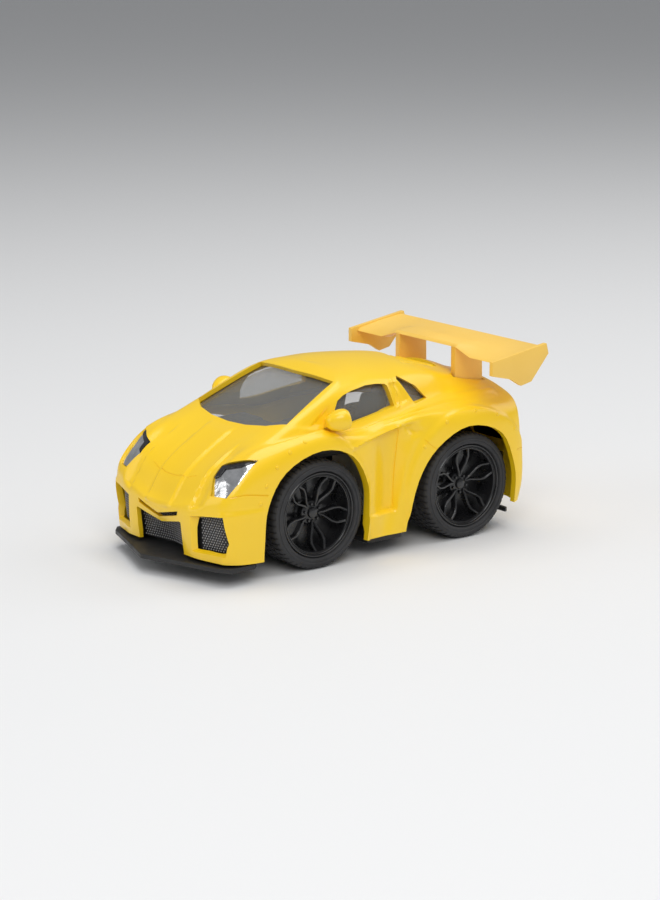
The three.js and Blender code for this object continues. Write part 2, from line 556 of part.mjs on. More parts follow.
const caseHalf = sidePrism(CASE_OUTLINE, 0.05, CASE_HALF)
  .subtract(sidePrism(CASE_ROOM, -1, CASE_HALF - 0.9))
  .subtract(shaftHoles);
addPiece("motor_case_left", caseHalf, "nylon");
addPiece("motor_case_right", mirrored(caseHalf), "nylon");
addPiece("clutch_gear", clutchGear, "nylon");
addPiece("clutch_pin", clutchPin, "steel");
addPiece("spring_drum_gear", springDrum, "nylon");
addPiece("spring_barrel", springBarrel, "nylon");
addPiece("mainspring", mainspring(), "steel");
addPiece("axle_pinion", axlePinion.subtract(crossCylinder(...AXLE_AT, AXLE_RADIUS + 0.05, -9, 9)), "nylon");
addPiece("chassis_plate", chassis, "black");

// ---- Screws ----
for (const [n, [x, y]] of POSTS.entries()) {
  const head = post(x, y, 1.9, FLOOR_Z - 0.05, FLOOR_Z + 0.45, 12);
  const shank = post(x, y, SCREW_HOLE - 0.2, FLOOR_Z + 0.3, 13, 8);
  addPiece(n ? "rear_screw" : "front_screw", joined(head, shank), "steel");
}

// ---- Wheels: steel axles, plastic rims and soft tyres ----
const AXLE_HALF = 20.4;
const AXLES = { front: FRONT_AXLE_X, rear: REAR_AXLE_X };
const TYRE_INNER_Y = WHEEL_OUTER_Y - TYRE_WIDTH;
const TYRE_PROFILE = [
  [RIM_RADIUS + 0.15, TYRE_INNER_Y + 0.6], [TYRE_RADIUS - 0.9, TYRE_INNER_Y], [TYRE_RADIUS, TYRE_INNER_Y + 1.2],
  [TYRE_RADIUS, WHEEL_OUTER_Y - 1.6], [TYRE_RADIUS - 0.7, WHEEL_OUTER_Y - 0.3],
  [RIM_RADIUS + 0.9, WHEEL_OUTER_Y], [RIM_RADIUS + 0.15, WHEEL_OUTER_Y - 0.6],
];
const RIM_FACE_Y = WHEEL_OUTER_Y - 0.8;
const HUB_FACE_Y = WHEEL_OUTER_Y - 3.4;
const BARREL_PROFILE = [
  [RIM_RADIUS, TYRE_INNER_Y + 0.8], [RIM_RADIUS, RIM_FACE_Y], [RIM_RADIUS - 0.8, RIM_FACE_Y + 0.2],
  [RIM_RADIUS - 1.5, RIM_FACE_Y - 1.2], [RIM_RADIUS - 1.5, TYRE_INNER_Y + 0.8],
];
const SPOKES = 5;
// Each spoke is a pair of arms that part from the hub, bow outwards and reach the rim side by side.
const SPOKE_ARM = [[1.4, 0.35], [5.6, 1.75], [9.4, 0.95]];
// The front and the rear pair stand at rest with their spokes at different angles.
function rim(axleX) {
  const start = axleX === FRONT_AXLE_X ? 0.35 : -0.225;
  const arms = [];
  for (let k = 0; k < SPOKES; k++)
    for (const side of [-1, 1])
      for (let n = 0; n < SPOKE_ARM.length - 1; n++) {
        const [[r0, t0], [r1, t1]] = [SPOKE_ARM[n], SPOKE_ARM[n + 1]];
        const depth = (r) => HUB_FACE_Y + ((RIM_FACE_Y - 1.0 - HUB_FACE_Y) * r) / RIM_RADIUS;
        const reach = Math.hypot(r1 - r0, t1 - t0);
        const beam = new THREE.BoxGeometry(reach + 0.6, 1.5, 0.8);
        beam.rotateZ(Math.atan2(depth(r1) - depth(r0), reach));
        beam.rotateY(-Math.atan2(side * (t1 - t0), r1 - r0));
        beam.translate((r0 + r1) / 2, (depth(r0) + depth(r1)) / 2 - 0.8, (side * (t0 + t1)) / 2);
        beam.rotateY((2 * Math.PI * (k + start)) / SPOKES);
        arms.push(solidOf(beam.translate(axleX, 0, AXLE_Z)));
      }
  const web = crossCylinder(axleX, AXLE_Z, RIM_RADIUS - 1.2, TYRE_INNER_Y + 4.2, TYRE_INNER_Y + 5.0, 24);
  const hub = crossCylinder(axleX, AXLE_Z, 2.2, TYRE_INNER_Y + 2.0, HUB_FACE_Y, 12);
  return joined(crossLathe(BARREL_PROFILE, axleX, AXLE_Z, 24), web, hub, ...arms).subtract(
    crossCylinder(axleX, AXLE_Z, AXLE_RADIUS + 0.08, 0, AXLE_HALF - 2.6, 12),
  );
}
for (const [end, x] of Object.entries(AXLES)) {
  const tyre = crossLathe(TYRE_PROFILE, x, AXLE_Z, 28);
  addPiece(`tyre_${end}_left`, tyre, "tyre");
  addPiece(`tyre_${end}_right`, mirrored(tyre), "tyre");
  addPiece(`rim_${end}_left`, rim(x), "rim");
  addPiece(`rim_${end}_right`, mirrored(rim(x)), "rim");
  addPiece(`${end}_axle`, crossCylinder(x, AXLE_Z, AXLE_RADIUS, 3 - AXLE_HALF, AXLE_HALF - 3, 16), "steel");
}

export default car;
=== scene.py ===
import math

import bmesh
import bpy
import numpy as np
from mathutils import Matrix, Vector
from mathutils.bvhtree import BVHTree


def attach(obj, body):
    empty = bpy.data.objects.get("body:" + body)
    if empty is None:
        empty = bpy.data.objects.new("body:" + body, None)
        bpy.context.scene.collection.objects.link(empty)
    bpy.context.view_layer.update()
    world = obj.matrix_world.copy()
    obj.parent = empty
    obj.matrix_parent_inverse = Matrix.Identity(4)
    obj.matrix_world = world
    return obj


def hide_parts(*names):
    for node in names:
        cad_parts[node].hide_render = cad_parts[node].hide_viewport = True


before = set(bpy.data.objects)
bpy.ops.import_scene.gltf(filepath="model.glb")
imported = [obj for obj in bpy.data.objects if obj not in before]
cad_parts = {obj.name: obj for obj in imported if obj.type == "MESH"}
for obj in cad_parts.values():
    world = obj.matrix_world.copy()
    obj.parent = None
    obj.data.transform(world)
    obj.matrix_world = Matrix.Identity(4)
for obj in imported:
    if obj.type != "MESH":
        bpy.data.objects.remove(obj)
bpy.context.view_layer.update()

# ---- Body shell ----
# The car's skin is one zinc die casting with a glossy yellow finish. It is drawn as a net of
# fourteen stations round each half of the car and eight levels up it, smoothed, and then tooled
# with the creases, recesses and seams of the real casting.
MM = 0.001
LEVELS = {
    "sill": [
        (43.5, 0, 6.0), (45.6, 10.8, 5.8), (44.3, 17.5, 5.5), (41.8, 22.8, 5.4), (34, 24.2, 5.0),
        (16, 24.6, 5.0), (1.2, 24.0, 5.0), (-4, 23.6, 5.0), (-10.3, 24.0, 5.1), (-30, 24.6, 5.6),
        (-44.5, 23.8, 7.0), (-47.4, 20.5, 7.4), (-48.2, 13, 7.6), (-48.4, 0, 7.6),
    ],
    "lower": [
        (44.8, 0, 10.5), (46.1, 10.8, 10.8), (44.8, 17.6, 11), (42.3, 23.2, 11), (34, 24.5, 11),
        (16, 24.9, 11), (1, 24.2, 11), (-5, 22.8, 11), (-11, 24.1, 11.5), (-30, 24.9, 12),
        (-45, 24.2, 12.4), (-48.4, 21.2, 12.5), (-49.2, 13, 12.5), (-49.4, 0, 12.5),
    ],
    "lip": [
        (46.6, 0, 15.0), (46.2, 10.6, 16.8), (44.9, 17.8, 17.4), (42.4, 23.3, 18), (34.2, 24.7, 19),
        (16, 25.0, 20), (0.6, 24.0, 20), (-6, 22.6, 20.5), (-12.4, 23.9, 20.5), (-30, 25.0, 20),
        (-45.4, 24.0, 19.6), (-48.2, 21, 19.6), (-49.0, 13, 19.6), (-49.2, 0, 19.6),
    ],
    "shoulder": [
        (44.8, 0, 18.0), (44.6, 9.8, 19.4), (43.4, 17.8, 21.6), (41.0, 22.6, 23.4), (33.6, 24.0, 27.2),
        (16, 24.6, 30.6), (2, 23.9, 29.4), (-5, 23.0, 30.4), (-12.5, 23.2, 31.4), (-30, 24.2, 31.0),
        (-44.2, 23.5, 30.2), (-47.4, 21.1, 31.0), (-48.1, 13, 31.8), (-48.3, 0, 32.2),
    ],
    "deck": [
        (40, 0, 24.4), (39.6, 9.6, 25.6), (38.6, 15.0, 27.6), (36.0, 19.0, 29.2), (31, 21.2, 31.0),
        (16, 22.2, 33.0), (3, 21.5, 31.6), (-5, 21.2, 32.6), (-13.5, 21.0, 33.2), (-29, 20.8, 34.0),
        (-42, 19.8, 33.8), (-46.4, 17.4, 34.6), (-47.2, 10, 36.2), (-47.4, 0, 36.6),
    ],
    "belt": [
        (26.6, 0, 33.0), (26.2, 9, 33.4), (24.8, 15, 34.2), (22.3, 19.2, 34.6), (16, 20.2, 34.4),
        (9, 20.4, 33.2), (2.8, 20.0, 32.8), (-5, 19.6, 33.8), (-12.5, 19.0, 34.2), (-22, 17.4, 35.2),
        (-33, 15, 36.6), (-40, 12, 37.2), (-43.0, 7, 37.4), (-43.6, 0, 37.6),
    ],
    "roof": [
        (5.8, 0, 43.5), (5.8, 7.5, 43.4), (5.5, 12.5, 43.1), (5.0, 15.4, 42.8), (2.6, 16.2, 42.6),
        (-1, 16.4, 42.5), (-4.8, 16.2, 42.3), (-9, 15.6, 42.1), (-13.5, 14.6, 41.9), (-20, 12.8, 41.9),
        (-27, 11.4, 41.0), (-33, 9, 40.0), (-36, 5, 40.2), (-37, 0, 40.4),
    ],
    "ridge": [
        (2, 0, 44.9), (1, 0, 45.0), (-0.3, 0, 45.2), (-1.8, 0, 45.4), (-3.8, 0, 45.6),
        (-6, 0, 45.7), (-8.5, 0, 45.7), (-11.5, 0, 45.6), (-15, 0, 45.3), (-20, 0, 44.6),
        (-25, 0, 43.5), (-28.5, 0, 42.6), (-30.5, 0, 42.1), (-32, 0, 41.7),
    ],
}
PER_STATION = 18
PER_LEVEL = 18
WALL = 1.1
FRONT_AXLE = (15.9, 13.3)
REAR_AXLE = (-30.1, 13.3)
FLIP = np.array([1, -1, 1])


def spline_weights(count, each):
    weights = np.zeros(((count - 1) * each + 1, count + 2))
    for row in range(len(weights)):
        k = min(row // each, count - 2)
        t = row / each - k
        weights[row, k] = (-t + 2 * t**2 - t**3) / 2
        weights[row, k + 1] = (2 - 5 * t**2 + 3 * t**3) / 2
        weights[row, k + 2] = (t + 4 * t**2 - 3 * t**3) / 2
        weights[row, k + 3] = (-(t**2) + t**3) / 2
    return weights


def skin_grid():
    net = np.array(list(LEVELS.values()), float)
    net = np.concatenate([[2 * net[0] - net[1]], net, [net[-2] * FLIP]])
    net = np.concatenate([net[:, 1:2] * FLIP, net, net[:, -2:-1] * FLIP], axis=1)
    up = spline_weights(len(LEVELS), PER_LEVEL)
    along = spline_weights(net.shape[1] - 2, PER_STATION)
    half = np.einsum("il,lsk,js->ijk", up, net, along)
    half[:, [0, -1], 1] = 0
    return np.concatenate([half, half[:, -2:0:-1] * FLIP], axis=1)


def outward_normals(grid):
    around = np.roll(grid, -1, axis=1) - np.roll(grid, 1, axis=1)
    up = np.gradient(grid, axis=0)
    normals = np.cross(around, up)
    normals /= np.linalg.norm(normals, axis=2, keepdims=True) + 1e-9
    sign = np.sign(np.sum(normals * (grid - [0, 0, 20]), axis=2, keepdims=True))
    return normals * np.where(sign == 0, 1, sign)


def ramp(value, low, high):
    t = np.clip((value - low) / (high - low), 0, 1)
    return t * t * (3 - 2 * t)


# The distance from each point to an outline on the side view, negative inside a closed outline.
def outline_distance(outline, u, v, closed=True):
    nearest = np.full(u.shape, 1e9)
    inside = np.zeros(u.shape, bool)
    ends = outline[1:] + outline[:1] if closed else outline[1:]
    for (u0, v0), (u1, v1) in zip(outline, ends):
        du, dv = u1 - u0, v1 - v0
        t = np.clip(((u - u0) * du + (v - v0) * dv) / (du * du + dv * dv), 0, 1)
        nearest = np.minimum(nearest, np.hypot(u - u0 - t * du, v - v0 - t * dv))
        crosses = (v0 > v) != (v1 > v)
        inside ^= crosses & (u < u0 + (v - v0) * du / (dv if dv else 1e-9))
    return np.where(inside, -nearest, nearest) if closed else nearest


DOOR_REAR_EDGE = [(10.6, -6.2), (15.8, -6.8), (20.7, -7.2), (25.7, -7.5), (29.1, -7.8), (31.2, -8.6)]
SCOOP_EDGE = [(11.3, -7.7), (14.7, -8.5), (19.5, -9.7), (24.3, -11.1), (28.0, -12.8), (31.4, -9.4)]
DOOR_TOP = [(-8.9, 31.4), (-4.4, 30.4), (1.1, 29.6), (6.4, 28.2)]
SCOOP_NOTCH = [(-8.8, 31.5), (-12.6, 28.0), (-15.2, 29.2), (-13.0, 31.9)]
FRONT_FLARE = [
    (20, 35), (16.5, 34.2), (11, 32.9), (8.9, 31.2), (6.4, 28.0), (3.0, 24.0), (1.0, 19.0),
    (1.0, 4), (30, 4), (30, 35),
]
SHOULDER_LINE = [(-8.6, 31.6), (-15.2, 32.9), (-21.6, 33.9), (-29.9, 34.9), (-42.9, 35.3)]
PILLAR_PANEL = [(10.2, 38.4), (16.4, 34.3), (11.4, 33.7)]
GILL = [(-9.8, 41.0), (-10.9, 35.5), (-12.6, 34.9), (-16.0, 36.2), (-13.4, 40.8)]
GILL_FIN = [(-11.4, 41.0), (-12.2, 38.0), (-12.3, 35.4)]
HOOD_RISE, HOOD_VALLEY = 0.55, 0.65
DOOR_DEPTH, DOOR_DEEPENS, DOOR_CREST = 0.2, 1.25, 0.3
SCOOP_DEPTH, NOTCH_DEPTH = 1.45, 0.85
FRONT_FLARE_RISE, REAR_FLARE_RISE = 0.55, 0.5
SHOULDER_RISE, BUMPER_RISE = 0.4, 0.22
PANEL_DEPTH, GILL_DEPTH = 0.35, 0.6


# How far the tooling raises or sinks the skin at each point of the net, in millimetres.
def tooling(grid, normals):
    x, y, z = grid[..., 0], np.abs(grid[..., 1]), grid[..., 2]
    side = ramp(y, 15.5, 17.5)
    flank = ramp(y, 19.5, 21.5)
    height = np.zeros(x.shape)

    def ridge(line, width):
        return np.exp(-((outline_distance(line, x, z, False) / width) ** 2))

    def within(outline, low, high):
        return ramp(-outline_distance(outline, x, z), low, high)

    hood = ramp(x, 26.5, 29.5) * ramp(z, 15.3, 17.0) * ramp(normals[..., 2], 0.15, 0.35)
    height += hood * HOOD_RISE * (1 - ramp(y, 4.5, 5.3))
    height -= hood * HOOD_VALLEY * ramp(y, 12.2, 12.9) * (1 - ramp(y, 14.2, 17.5)) * ramp(x, 30, 37)

    rear_edge = np.interp(z, *zip(*DOOR_REAR_EDGE))
    scoop_edge = np.interp(z, *zip(*SCOOP_EDGE))
    top = np.interp(x, *zip(*DOOR_TOP))
    door = flank * ramp(z, 10.2, 11.2) * (1 - ramp(z, top - 0.5, top + 0.1)) * (x < 14)
    sunk = DOOR_DEPTH + DOOR_DEEPENS * ramp(-x, -4.0, 7.0)
    wall = np.clip((x - scoop_edge) / (rear_edge - scoop_edge + 1e-6), 0, 1)
    height -= door * np.where(x > rear_edge, sunk, SCOOP_DEPTH * wall) * (x > scoop_edge - 0.01)
    height += flank * DOOR_CREST * ridge(DOOR_TOP, 0.55) * ramp(z, top - 0.3, top + 0.2)
    height -= side * NOTCH_DEPTH * within(SCOOP_NOTCH, -0.3, 1.2)

    rear_reach = np.hypot(x - REAR_AXLE[0], z - REAR_AXLE[1])
    height += side * REAR_FLARE_RISE * (1 - ramp(rear_reach, 19.5, 20.5)) * (x < -9)
    flare = 1 - ramp(outline_distance(FRONT_FLARE, x, z), -0.7, 0.0)
    height += side * FRONT_FLARE_RISE * flare * (1 - ramp(x, 13, 24))
    height += side * SHOULDER_RISE * ridge(SHOULDER_LINE, 0.8)

    bumper = ramp(x, 32.5, 33.5) * (1 - ramp(z, 17.3, 18.3)) * ramp(y, 20.5, 22)
    height += BUMPER_RISE * bumper
    height -= side * PANEL_DEPTH * within(PILLAR_PANEL, -0.1, 0.6)
    upper = ramp(y, 11.5, 13)
    height -= upper * GILL_DEPTH * within(GILL, -0.1, 0.6)
    height += upper * GILL_DEPTH * ridge(GILL_FIN, 0.35)
    return height


def linked(name, data):
    made = bpy.data.objects.new(name, data)
    bpy.context.scene.collection.objects.link(made)
    return made


# A new object from points in millimetres and faces, facing outwards.
def new_piece(name, points, faces):
    mesh = bpy.data.meshes.new(name)
    mesh.from_pydata([tuple(p) for p in np.asarray(points, float) * MM], [], faces)
    work = bmesh.new()
    work.from_mesh(mesh)
    bmesh.ops.remove_doubles(work, verts=work.verts, dist=2e-6)
    bmesh.ops.dissolve_degenerate(work, edges=work.edges, dist=1e-7)
    bmesh.ops.recalc_face_normals(work, faces=work.faces)
    work.to_mesh(mesh)
    work.free()
    return linked(name, mesh)


# The faces between rings of points. The rings may loop round, and each ring may be open.
def sleeve(rings, sides, looped=False, ring_closed=True):
    faces = []
    for i in range(rings if looped else rings - 1):
        n = (i + 1) % rings
        for k in range(sides if ring_closed else sides - 1):
            m = (k + 1) % sides
            faces.append((i * sides + k, i * sides + m, n * sides + m, n * sides + k))
    return faces


# The closed solid under the skin: its net moved in by an inset, its foot lowered by a drop.
def skin_solid(name, net, normals, inset=0.0, every=1, drop=0.0):
    columns = (net.shape[1] // 2) // every
    moved = net - normals * inset
    moved[-1, :, 1] = 0
    moved[-1] = net[-1] - [0, 0, inset]
    moved[0, :, 2] = net[0, :, 2] - drop
    moved[:, [0, net.shape[1] // 2], 1] = 0
    moved = moved[::every, ::every]
    round_count = 2 * columns
    faces = sleeve(len(moved), round_count)
    for j in range(columns):
        faces.append((j, (round_count - j) % round_count, round_count - j - 1, j + 1))
    return new_piece(name, moved.reshape(-1, 3), faces)


def sharpen(made, degrees):
    made.data.shade_smooth()
    made.data.set_sharp_from_angle(angle=math.radians(degrees))


# Bakes an object's modifiers into its mesh.
def settle(made):
    graph = bpy.context.evaluated_depsgraph_get()
    mesh = bpy.data.meshes.new_from_object(made.evaluated_get(graph))
    made.modifiers.clear()
    made.data = mesh
    return made


def carve(made, tools, operation="DIFFERENCE"):
    for tool in tools:
        step = made.modifiers.new("carve", "BOOLEAN")
        step.operation = operation
        step.solver = "MANIFOLD"
        step.object = tool
    settle(made)
    for tool in tools:
        bpy.data.objects.remove(tool)
    return made


def prism_faces(count):
    ends = [tuple(range(count)), tuple(range(2 * count - 1, count - 1, -1))]
    return ends + [(i, i + count, (i + 1) % count + count, (i + 1) % count) for i in range(count)]


# An outline in space, swept from one end to the other of a way.
def prism(outline, way, start, end):
    outline = np.array(outline, float)
    way = np.array(way, float) / np.linalg.norm(way)
    level = outline - np.outer((outline - outline.mean(axis=0)) @ way, way)
    points = np.concatenate([level + way * start, level + way * end])
    return new_piece("cutter", points, prism_faces(len(outline)))


# An open outline, smoothed with a number of steps between each two of its points.
def smooth_outline(points, steps):
    points = np.array(points, float)
    points = np.concatenate([[2 * points[0] - points[1]], points, [2 * points[-1] - points[-2]]])
    return spline_weights(len(points) - 2, steps) @ points


def side_outline(points):
    return [(x, 0, z) for x, z in smooth_outline(points, ARCH_STEPS)]


FRONT_ARCH = [
    (33.0, 0), (32.9, 9.7), (31.9, 18.1), (26.8, 25.5), (16.5, 29.4), (7.0, 26.6), (2.0, 18.7),
    (1.8, 11), (3.0, 0),
]
REAR_ARCH = [
    (-9.6, 0), (-10.3, 6.5), (-13.4, 17.2), (-19.3, 24.8), (-29, 29.0), (-39.6, 25.9), (-44.2, 17),
    (-44.8, 9), (-44.8, 0),
]
WINDSCREEN = [
    (21.6, 18.2, 34.9), (24.3, 13.5, 34.2), (25.6, 7, 33.7), (25.9, 0, 33.5), (25.6, -7, 33.7),
    (24.3, -13.5, 34.2), (21.6, -18.2, 34.9), (5.4, -14.9, 42.9), (6.2, 0, 43.6), (5.4, 14.9, 42.9),
]
REAR_WINDOW = [(-21, 8.6, 43.4), (-34, 6.4, 40.6), (-34, -6.4, 40.6), (-21, -8.6, 43.4)]
SIDE_WINDOW = [
    (7.3, 39.1), (8.4, 37.4), (9.0, 35.4), (8.6, 33.2), (5.6, 33.1), (2.8, 33.4), (-10.4, 35.4),
    (-9.3, 40.4), (-8.6, 40.9), (-5.6, 41.3), (-2.2, 41.4), (2.5, 40.8), (5.4, 40.1),
]
QUARTER_WINDOW = [(-14.1, 41.8), (-13.5, 41.2), (-17.6, 34.9), (-22.0, 35.6), (-19.3, 38.8)]
HEADLIGHT = [
    (34.3, 23.2, 29.8), (36.6, 19.3, 28.9), (39.2, 15.4, 27.8), (41.6, 15.6, 25.2),
    (43.9, 17.7, 21.3), (42.2, 22.5, 21.3), (39.4, 23.3, 24.6),
]
NOSE_SLOT = [(8.3, 16.0), (0, 14.0), (-8.3, 16.0), (-8.0, 14.9), (0, 12.95), (8.0, 14.9)]
CENTRE_INTAKE = [(9.3, 13.5), (8.6, 13.6), (0, 11.7), (-8.6, 13.6), (-9.3, 13.5), (-9.5, 2), (9.5, 2)]
TAIL_LIGHT = [(8.5, 25.4), (20.2, 26.6), (20.4, 22.6), (9.5, 22.6)]
REAR_OUTLET = [(-14, 9.5), (-15.5, 17.5), (15.5, 17.5), (14, 9.5)]
PLATE_RECESS = [(-7, 19.6), (-7, 24.6), (7, 24.6), (7, 19.6)]
ARCH_STEPS = 4
PILLAR_SLOT = [(-45.2, 10.5), (-45.2, 12.1), (-34.6, 12.1), (-34.6, 10.5)]


def face_outline(points, x):
    return [(x, y, z) for y, z in points]


def lamp_way(side):
    return (0.78, side * 0.36, 0.52)


def mirrored(points):
    return [(x, -y, z) for x, y, z in points]


plain_grid = skin_grid()
plain_normals = outward_normals(plain_grid)
tooled_grid = plain_grid + plain_normals * tooling(plain_grid, plain_normals)[..., None]
tooled_grid[-1, :, 1] = 0
tooled_normals = outward_normals(tooled_grid)
shell = skin_solid("body_casting", tooled_grid, tooled_normals)
skin_tree = BVHTree.FromObject(shell, bpy.context.evaluated_depsgraph_get())


# The point where a straight line first meets the skin, and the skin's normal there.
def on_skin(start, way):
    hit, normal, _, _ = skin_tree.ray_cast(Vector(start) * MM, Vector(way).normalized())
    return np.array(hit) / MM, np.array(normal)


# A fine round tube that follows points in space, for scoring a seam.
def tube(points, radius, sides=6):
    points = np.array(points, float)
    ahead = np.gradient(points, axis=0)
    rings = []
    for point, way in zip(points, ahead):
        way = Vector(way).normalized()
        across = way.orthogonal().normalized()
        if abs(way.z) < 0.95:
            across = way.cross(Vector((0, 0, 1))).normalized()
        third = way.cross(across)
        for k in range(sides):
            turn = 2 * math.pi * k / sides
            out = across * math.cos(turn) + third * math.sin(turn)
            rings.append(point + radius * np.array(out))
    count = len(points)
    caps = [tuple(range(sides)), tuple(range((count - 1) * sides, count * sides))]
    return new_piece("cutter", rings, caps + sleeve(count, sides))


SEAM_STEPS = 6


# A seam across the skin: an outline seen from one side, dropped on to the skin along a way.
def seam(outline, lift, way, radius):
    path = smooth_outline(outline, SEAM_STEPS)
    return tube([on_skin(lift(*p), way)[0] for p in path], radius)


def both_seams(outline, radius):
    left = seam(outline, lambda x, z: (x, 40, z), (0, -1, 0), radius)
    right = seam(outline, lambda x, z: (x, -40, z), (0, 1, 0), radius)
    return [left, right]


HOOD_SEAM = [(8.9, 41.3), (3.0, 42.3), (0, 42.35), (-3.0, 42.3), (-8.9, 41.3)]
TAIL_SEAM = [(20.4, 21.0), (10.0, 21.4), (0, 21.5), (-10.0, 21.4), (-20.4, 21.0)]
seams = [
    *both_seams([(41.7, 21.5), (38.5, 21.9), (35.0, 21.4), (32.0, 20.9)], 0.2),
    *both_seams([(-15.6, 27.2), (-17.0, 26.0), (-18.8, 24.6)], 0.15),
    *both_seams([(-45.2, 20.6), (-46.4, 20.7), (-47.6, 20.6)], 0.2),
    *both_seams([(-7.2, 11.6), (-7.9, 20.0), (-8.4, 26.0), (-8.9, 30.4)], 0.22),
    seam(HOOD_SEAM, lambda y, x: (x, y, 60), (0, 0, -1), 0.12),
    seam(TAIL_SEAM, lambda y, z: (-70, y, z), (1, 0, 0), 0.16),
]

# The inside of the casting clears the deepest tooling near each point, so its wall stays whole.
deepest = np.minimum(tooling(plain_grid, plain_normals), 0)
for axis in (0, 1):
    deepest = np.minimum.reduce([np.roll(deepest, shift, axis) for shift in range(-9, 10, 3)])
lined_grid = plain_grid + plain_normals * deepest[..., None]
cavity = skin_solid("cutter", lined_grid, plain_normals, WALL, 6, 6)
openings = [
    cavity,
    prism(side_outline(FRONT_ARCH), (0, 1, 0), -30, 30),
    prism(side_outline(REAR_ARCH), (0, 1, 0), -30, 30),
    prism(WINDSCREEN, (0.48, 0, 0.88), -7, 7),
    prism(REAR_WINDOW, (-0.2, 0, 0.98), -4, 4),
    prism(face_outline(NOSE_SLOT, 45), (1, 0, 0), -1.0, 6),
    prism(face_outline(CENTRE_INTAKE, 45), (1, 0, 0), -7, 7),
    prism(face_outline(REAR_OUTLET, -48), (1, 0, 0), -4, 4),
    prism(face_outline(PLATE_RECESS, -50), (1, 0, 0), -2, 1.6),
]
for side in (1, -1):
    turn = list if side > 0 else mirrored
    openings += [
        prism(turn([(x, 18, z) for x, z in SIDE_WINDOW]), (0, 1, 0), -8, 8),
        prism(turn([(x, 18, z) for x, z in QUARTER_WINDOW]), (0, 1, 0), -8, 8),
        prism(turn(HEADLIGHT), lamp_way(side), -6, 6),
        prism(turn(face_outline(TAIL_LIGHT, -48)), (1, 0, 0), -4, 4),
        prism(turn([(x, y, 40) for x, y in PILLAR_SLOT]), (0, 0, 1), -7, 7),
    ]


# The side intakes are funnels: a wide mouth in the skin, a bevelled frame and a smaller throat.
INTAKE_MOUTH = [
    (47.4, 11.9, 15.9), (44.2, 22.9, 17.1), (42.9, 23.7, 10.6), (43.6, 23.0, 6.9),
    (46.9, 12.2, 6.7),
]
INTAKE_THROAT = [
    (43.6, 14.9, 15.4), (41.2, 21.9, 16.5), (40.4, 22.5, 10.6), (41.0, 21.7, 8.3),
    (43.0, 14.8, 8.6),
]
MOUTH_REACH = 0.35


def intake(turn):
    back = [(x - 3.4, y - 0.07 * (y - 14), z) for x, y, z in INTAKE_THROAT]
    mouth = [
        tuple((1 + MOUTH_REACH) * np.array(m) - MOUTH_REACH * np.array(t))
        for m, t in zip(INTAKE_MOUTH, INTAKE_THROAT)
    ]
    points = turn(mouth) + turn(INTAKE_THROAT) + turn(back)
    faces = [(0, 1, 2, 3, 4), (14, 13, 12, 11, 10)]
    for ring in (0, 5):
        for k in range(5):
            n = (k + 1) % 5
            faces.append((ring + k, ring + 5 + k, ring + 5 + n, ring + n))
    return new_piece("cutter", points, faces)


openings += [intake(list), intake(mirrored)]


# The mirrors are cast with the shell: an egg with its blunt end to the rear, on a short flat arm.
POD_MIDDLE = [10.6, 23.7, 35.6]
POD_REACH = (3.1, 2.65, 2.55)


def mirror_pod(side):
    points = []
    rings, sides = 18, 28
    reach, width, tall = POD_REACH
    for i in range(1, rings):
        polar = math.pi * i / rings
        x = max(math.cos(polar), -0.86 + 0.06 * math.cos(3 * polar))
        swell = math.sin(polar) ** 0.62 * (0.97 - 0.2 * x)
        for k in range(sides):
            turn = 2 * math.pi * k / sides
            across, up = (math.copysign(abs(v) ** 0.8, v) for v in (math.cos(turn), math.sin(turn)))
            points.append((reach * x, width * swell * across, tall * swell * up))
    faces = sleeve(rings - 1, sides)
    faces += [tuple(range(sides)), tuple(range((rings - 2) * sides, (rings - 1) * sides))]
    lean = Matrix.Rotation(-0.35, 3, "Z") @ Matrix.Rotation(0.2, 3, "Y")
    placed = [np.array(lean @ Vector(p)) + POD_MIDDLE for p in points]
    return new_piece("pod", placed if side > 0 else mirrored(placed), faces)


def mirror_arm(side):
    outline = [(12.6, 19.0, 33.2), (8.4, 19.0, 33.0), (9.0, 19.4, 35.2), (11.8, 19.2, 35.4)]
    way = (0, side, 0.25)
    return prism(outline if side > 0 else mirrored(outline), way, -0.2, 4.4)


POSTS = [(29.5, 0), (-43.4, 0)]
POST_TOPS = [30.5, 37.0]
POST_FOOT, POST_RADIUS = 5.0, 2.3
SCREW_HOLE_TOP, SCREW_HOLE_RADIUS = 16, 1.0


def post(x, y, radius, low, high, sides=24):
    turns = [2 * math.pi * k / sides for k in range(sides)]
    ring = [(x + radius * math.cos(a), y + radius * math.sin(a), low) for a in turns]
    return prism(ring, (0, 0, 1), 0, high - low)


mirrors = [part(side) for side in (1, -1) for part in (mirror_pod, mirror_arm)]
carve(shell, mirrors, "UNION")
carve(shell, openings)
carve(shell, seams)
posts = [post(x, y, POST_RADIUS, POST_FOOT, top) for (x, y), top in zip(POSTS, POST_TOPS)]
carve(shell, posts, "UNION")
carve(shell, [post(x, y, SCREW_HOLE_RADIUS, 0, SCREW_HOLE_TOP) for x, y in POSTS])


# Takes away the crumbs that a cut leaves, so that only the one large body stays.
def without_crumbs(made, fewest=400):
    work = bmesh.new()
    work.from_mesh(made.data)
    seen, crumbs = set(), []
    for face in work.faces:
        if face in seen:
            continue
        island, waiting = [], [face]
        seen.add(face)
        while waiting:
            here = waiting.pop()
            island.append(here)
            for edge in here.edges:
                for near in edge.link_faces:
                    if near not in seen:
                        seen.add(near)
                        waiting.append(near)
        if len(island) < fewest:
            crumbs += island
    bmesh.ops.delete(work, geom=crumbs, context="FACES")
    work.to_mesh(made.data)
    work.free()


without_crumbs(shell)
sharpen(shell, 30)


